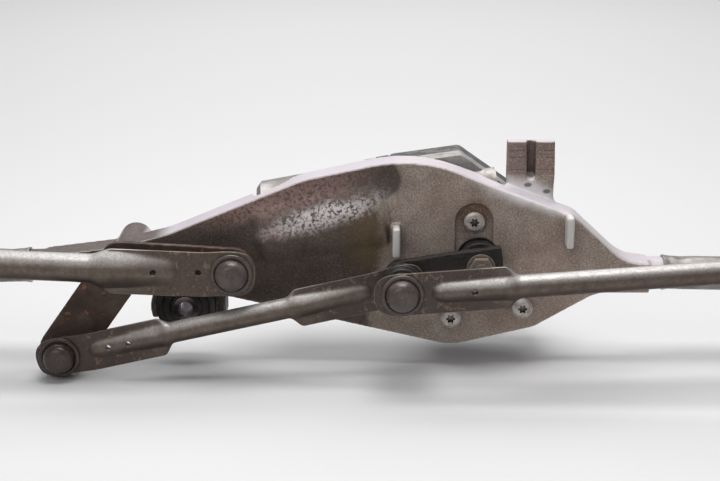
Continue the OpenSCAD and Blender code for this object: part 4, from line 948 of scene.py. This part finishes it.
# Ball sockets: dark plastic cups pressed into the rods' ends, each with a rim and a domed cap over the ball.
# The caps have a nub in the middle; the left drive rod's socket on the crank is open for the stud.
socket_plastic = moulded("socket_plastic", tone(70, 61, 57), tone(96, 86, 80), (0.24, 0.38), 0.00006)
dark_plastic = moulded("dark_socket_plastic", tone(54, 43, 39), tone(78, 66, 60), (0.24, 0.38), 0.00006)
black_plastic = moulded("black_socket_plastic", tone(30, 28, 28), tone(58, 53, 50), (0.3, 0.45), 0.00006)
BALL_ROOM = 0.0083
ROOM_BACK = -39.5
ROOM_OPEN = 36
ROOM_SHUT = 90
ROOM_STEPS = 10
NEARLY_SHUT = math.radians(89)


def ball_room(first, last):
    """The round room for the ball, as an outline from one angle in front of the plate to another."""
    turns = [math.radians(first + (last - first) * i / ROOM_STEPS) for i in range(ROOM_STEPS + 1)]
    return [(BALL_ROOM * math.cos(t) if t < NEARLY_SHUT else 0, BALL_ROOM * math.sin(t)) for t in turns]


# Outlines of radii and heights: the cup, and the shut and the open top over it
CUP = [(0.0064, -0.007), (0.0108, -0.007), (0.0108, 0.00105), (0.012, 0.00105), (0.012, 0.0026),
       (0.0114, 0.0032)]
CAP_TOP = [(0.0099, 0.0032), (0.0095, 0.0026), (0.0092, 0.0032), (0.0089, 0.0056), (0.0079, 0.0077),
           (0.0064, 0.009), (0.0052, 0.0095), (0.0019, 0.0095), (0.0013, 0.0099), (0, 0.0099)]
OPEN_TOP = [(0.0108, 0.0032), (0.0106, 0.0064), (0.0067, 0.0064)]
BLIND_SOCKET = CUP + CAP_TOP + ball_room(ROOM_SHUT, ROOM_BACK)
OPEN_SOCKET = CUP + OPEN_TOP + ball_room(ROOM_OPEN, ROOM_BACK)
for name, (start, finish) in rod_ends.items():
    stud_passes = name == "left_drive_rod"
    node = name.replace("_rod", "_sockets")
    spins = [(start, OPEN_SOCKET if stud_passes else BLIND_SOCKET), (finish, BLIND_SOCKET)]
    cups = turned(f"{node}_moulded", spins, 0.0009, nodes[node]["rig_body"], node)
    cups.data.materials.append(dark_plastic if stud_passes else socket_plastic)
    if stud_passes:
        cups.data.materials.append(black_plastic)
        for face in cups.data.polygons:
            face.material_index = int((face.center - start).length < (face.center - finish).length)

# Bellcrank and levers: arms stamped from thick steel plate and riveted to their spindles.
# They are unpainted, dark with old rust, with brighter orange spots.


def rusty_steel(name):
    """Dark brown rusted steel with orange spots and paler scuffed edges."""
    material, tree, shader = new_material(name, metallic=0.25)
    cloudy = patched(tree, 70.0, 0.5, 0.18)
    skin = effect(tree, grain, Scale=1300.0)
    colour = mixed(tree, cloudy, tone(80, 62, 50), tone(56, 43, 35))
    colour = coated(tree, colour, patched(tree, 170.0, 0.64, 0.04), 0.8, tone(150, 92, 60))
    wear = effect(tree, worn_edges, Width=0.0006, Broken=0.7)["Mask"]
    colour = coated(tree, colour, wear, 0.7, tone(148, 128, 112))
    surfaced(tree, shader, colour, cloudy, (0.5, 0.75), skin["Height"], 0.0003)
    return material


rusted = rusty_steel("rusty_steel")
for node in ("bellcrank_plate", "left_lever", "right_lever"):
    arm = melted(node, f"{node}_stamping", ARM_VOXEL, ARM_PASSES)
    dressed(arm, rusted)
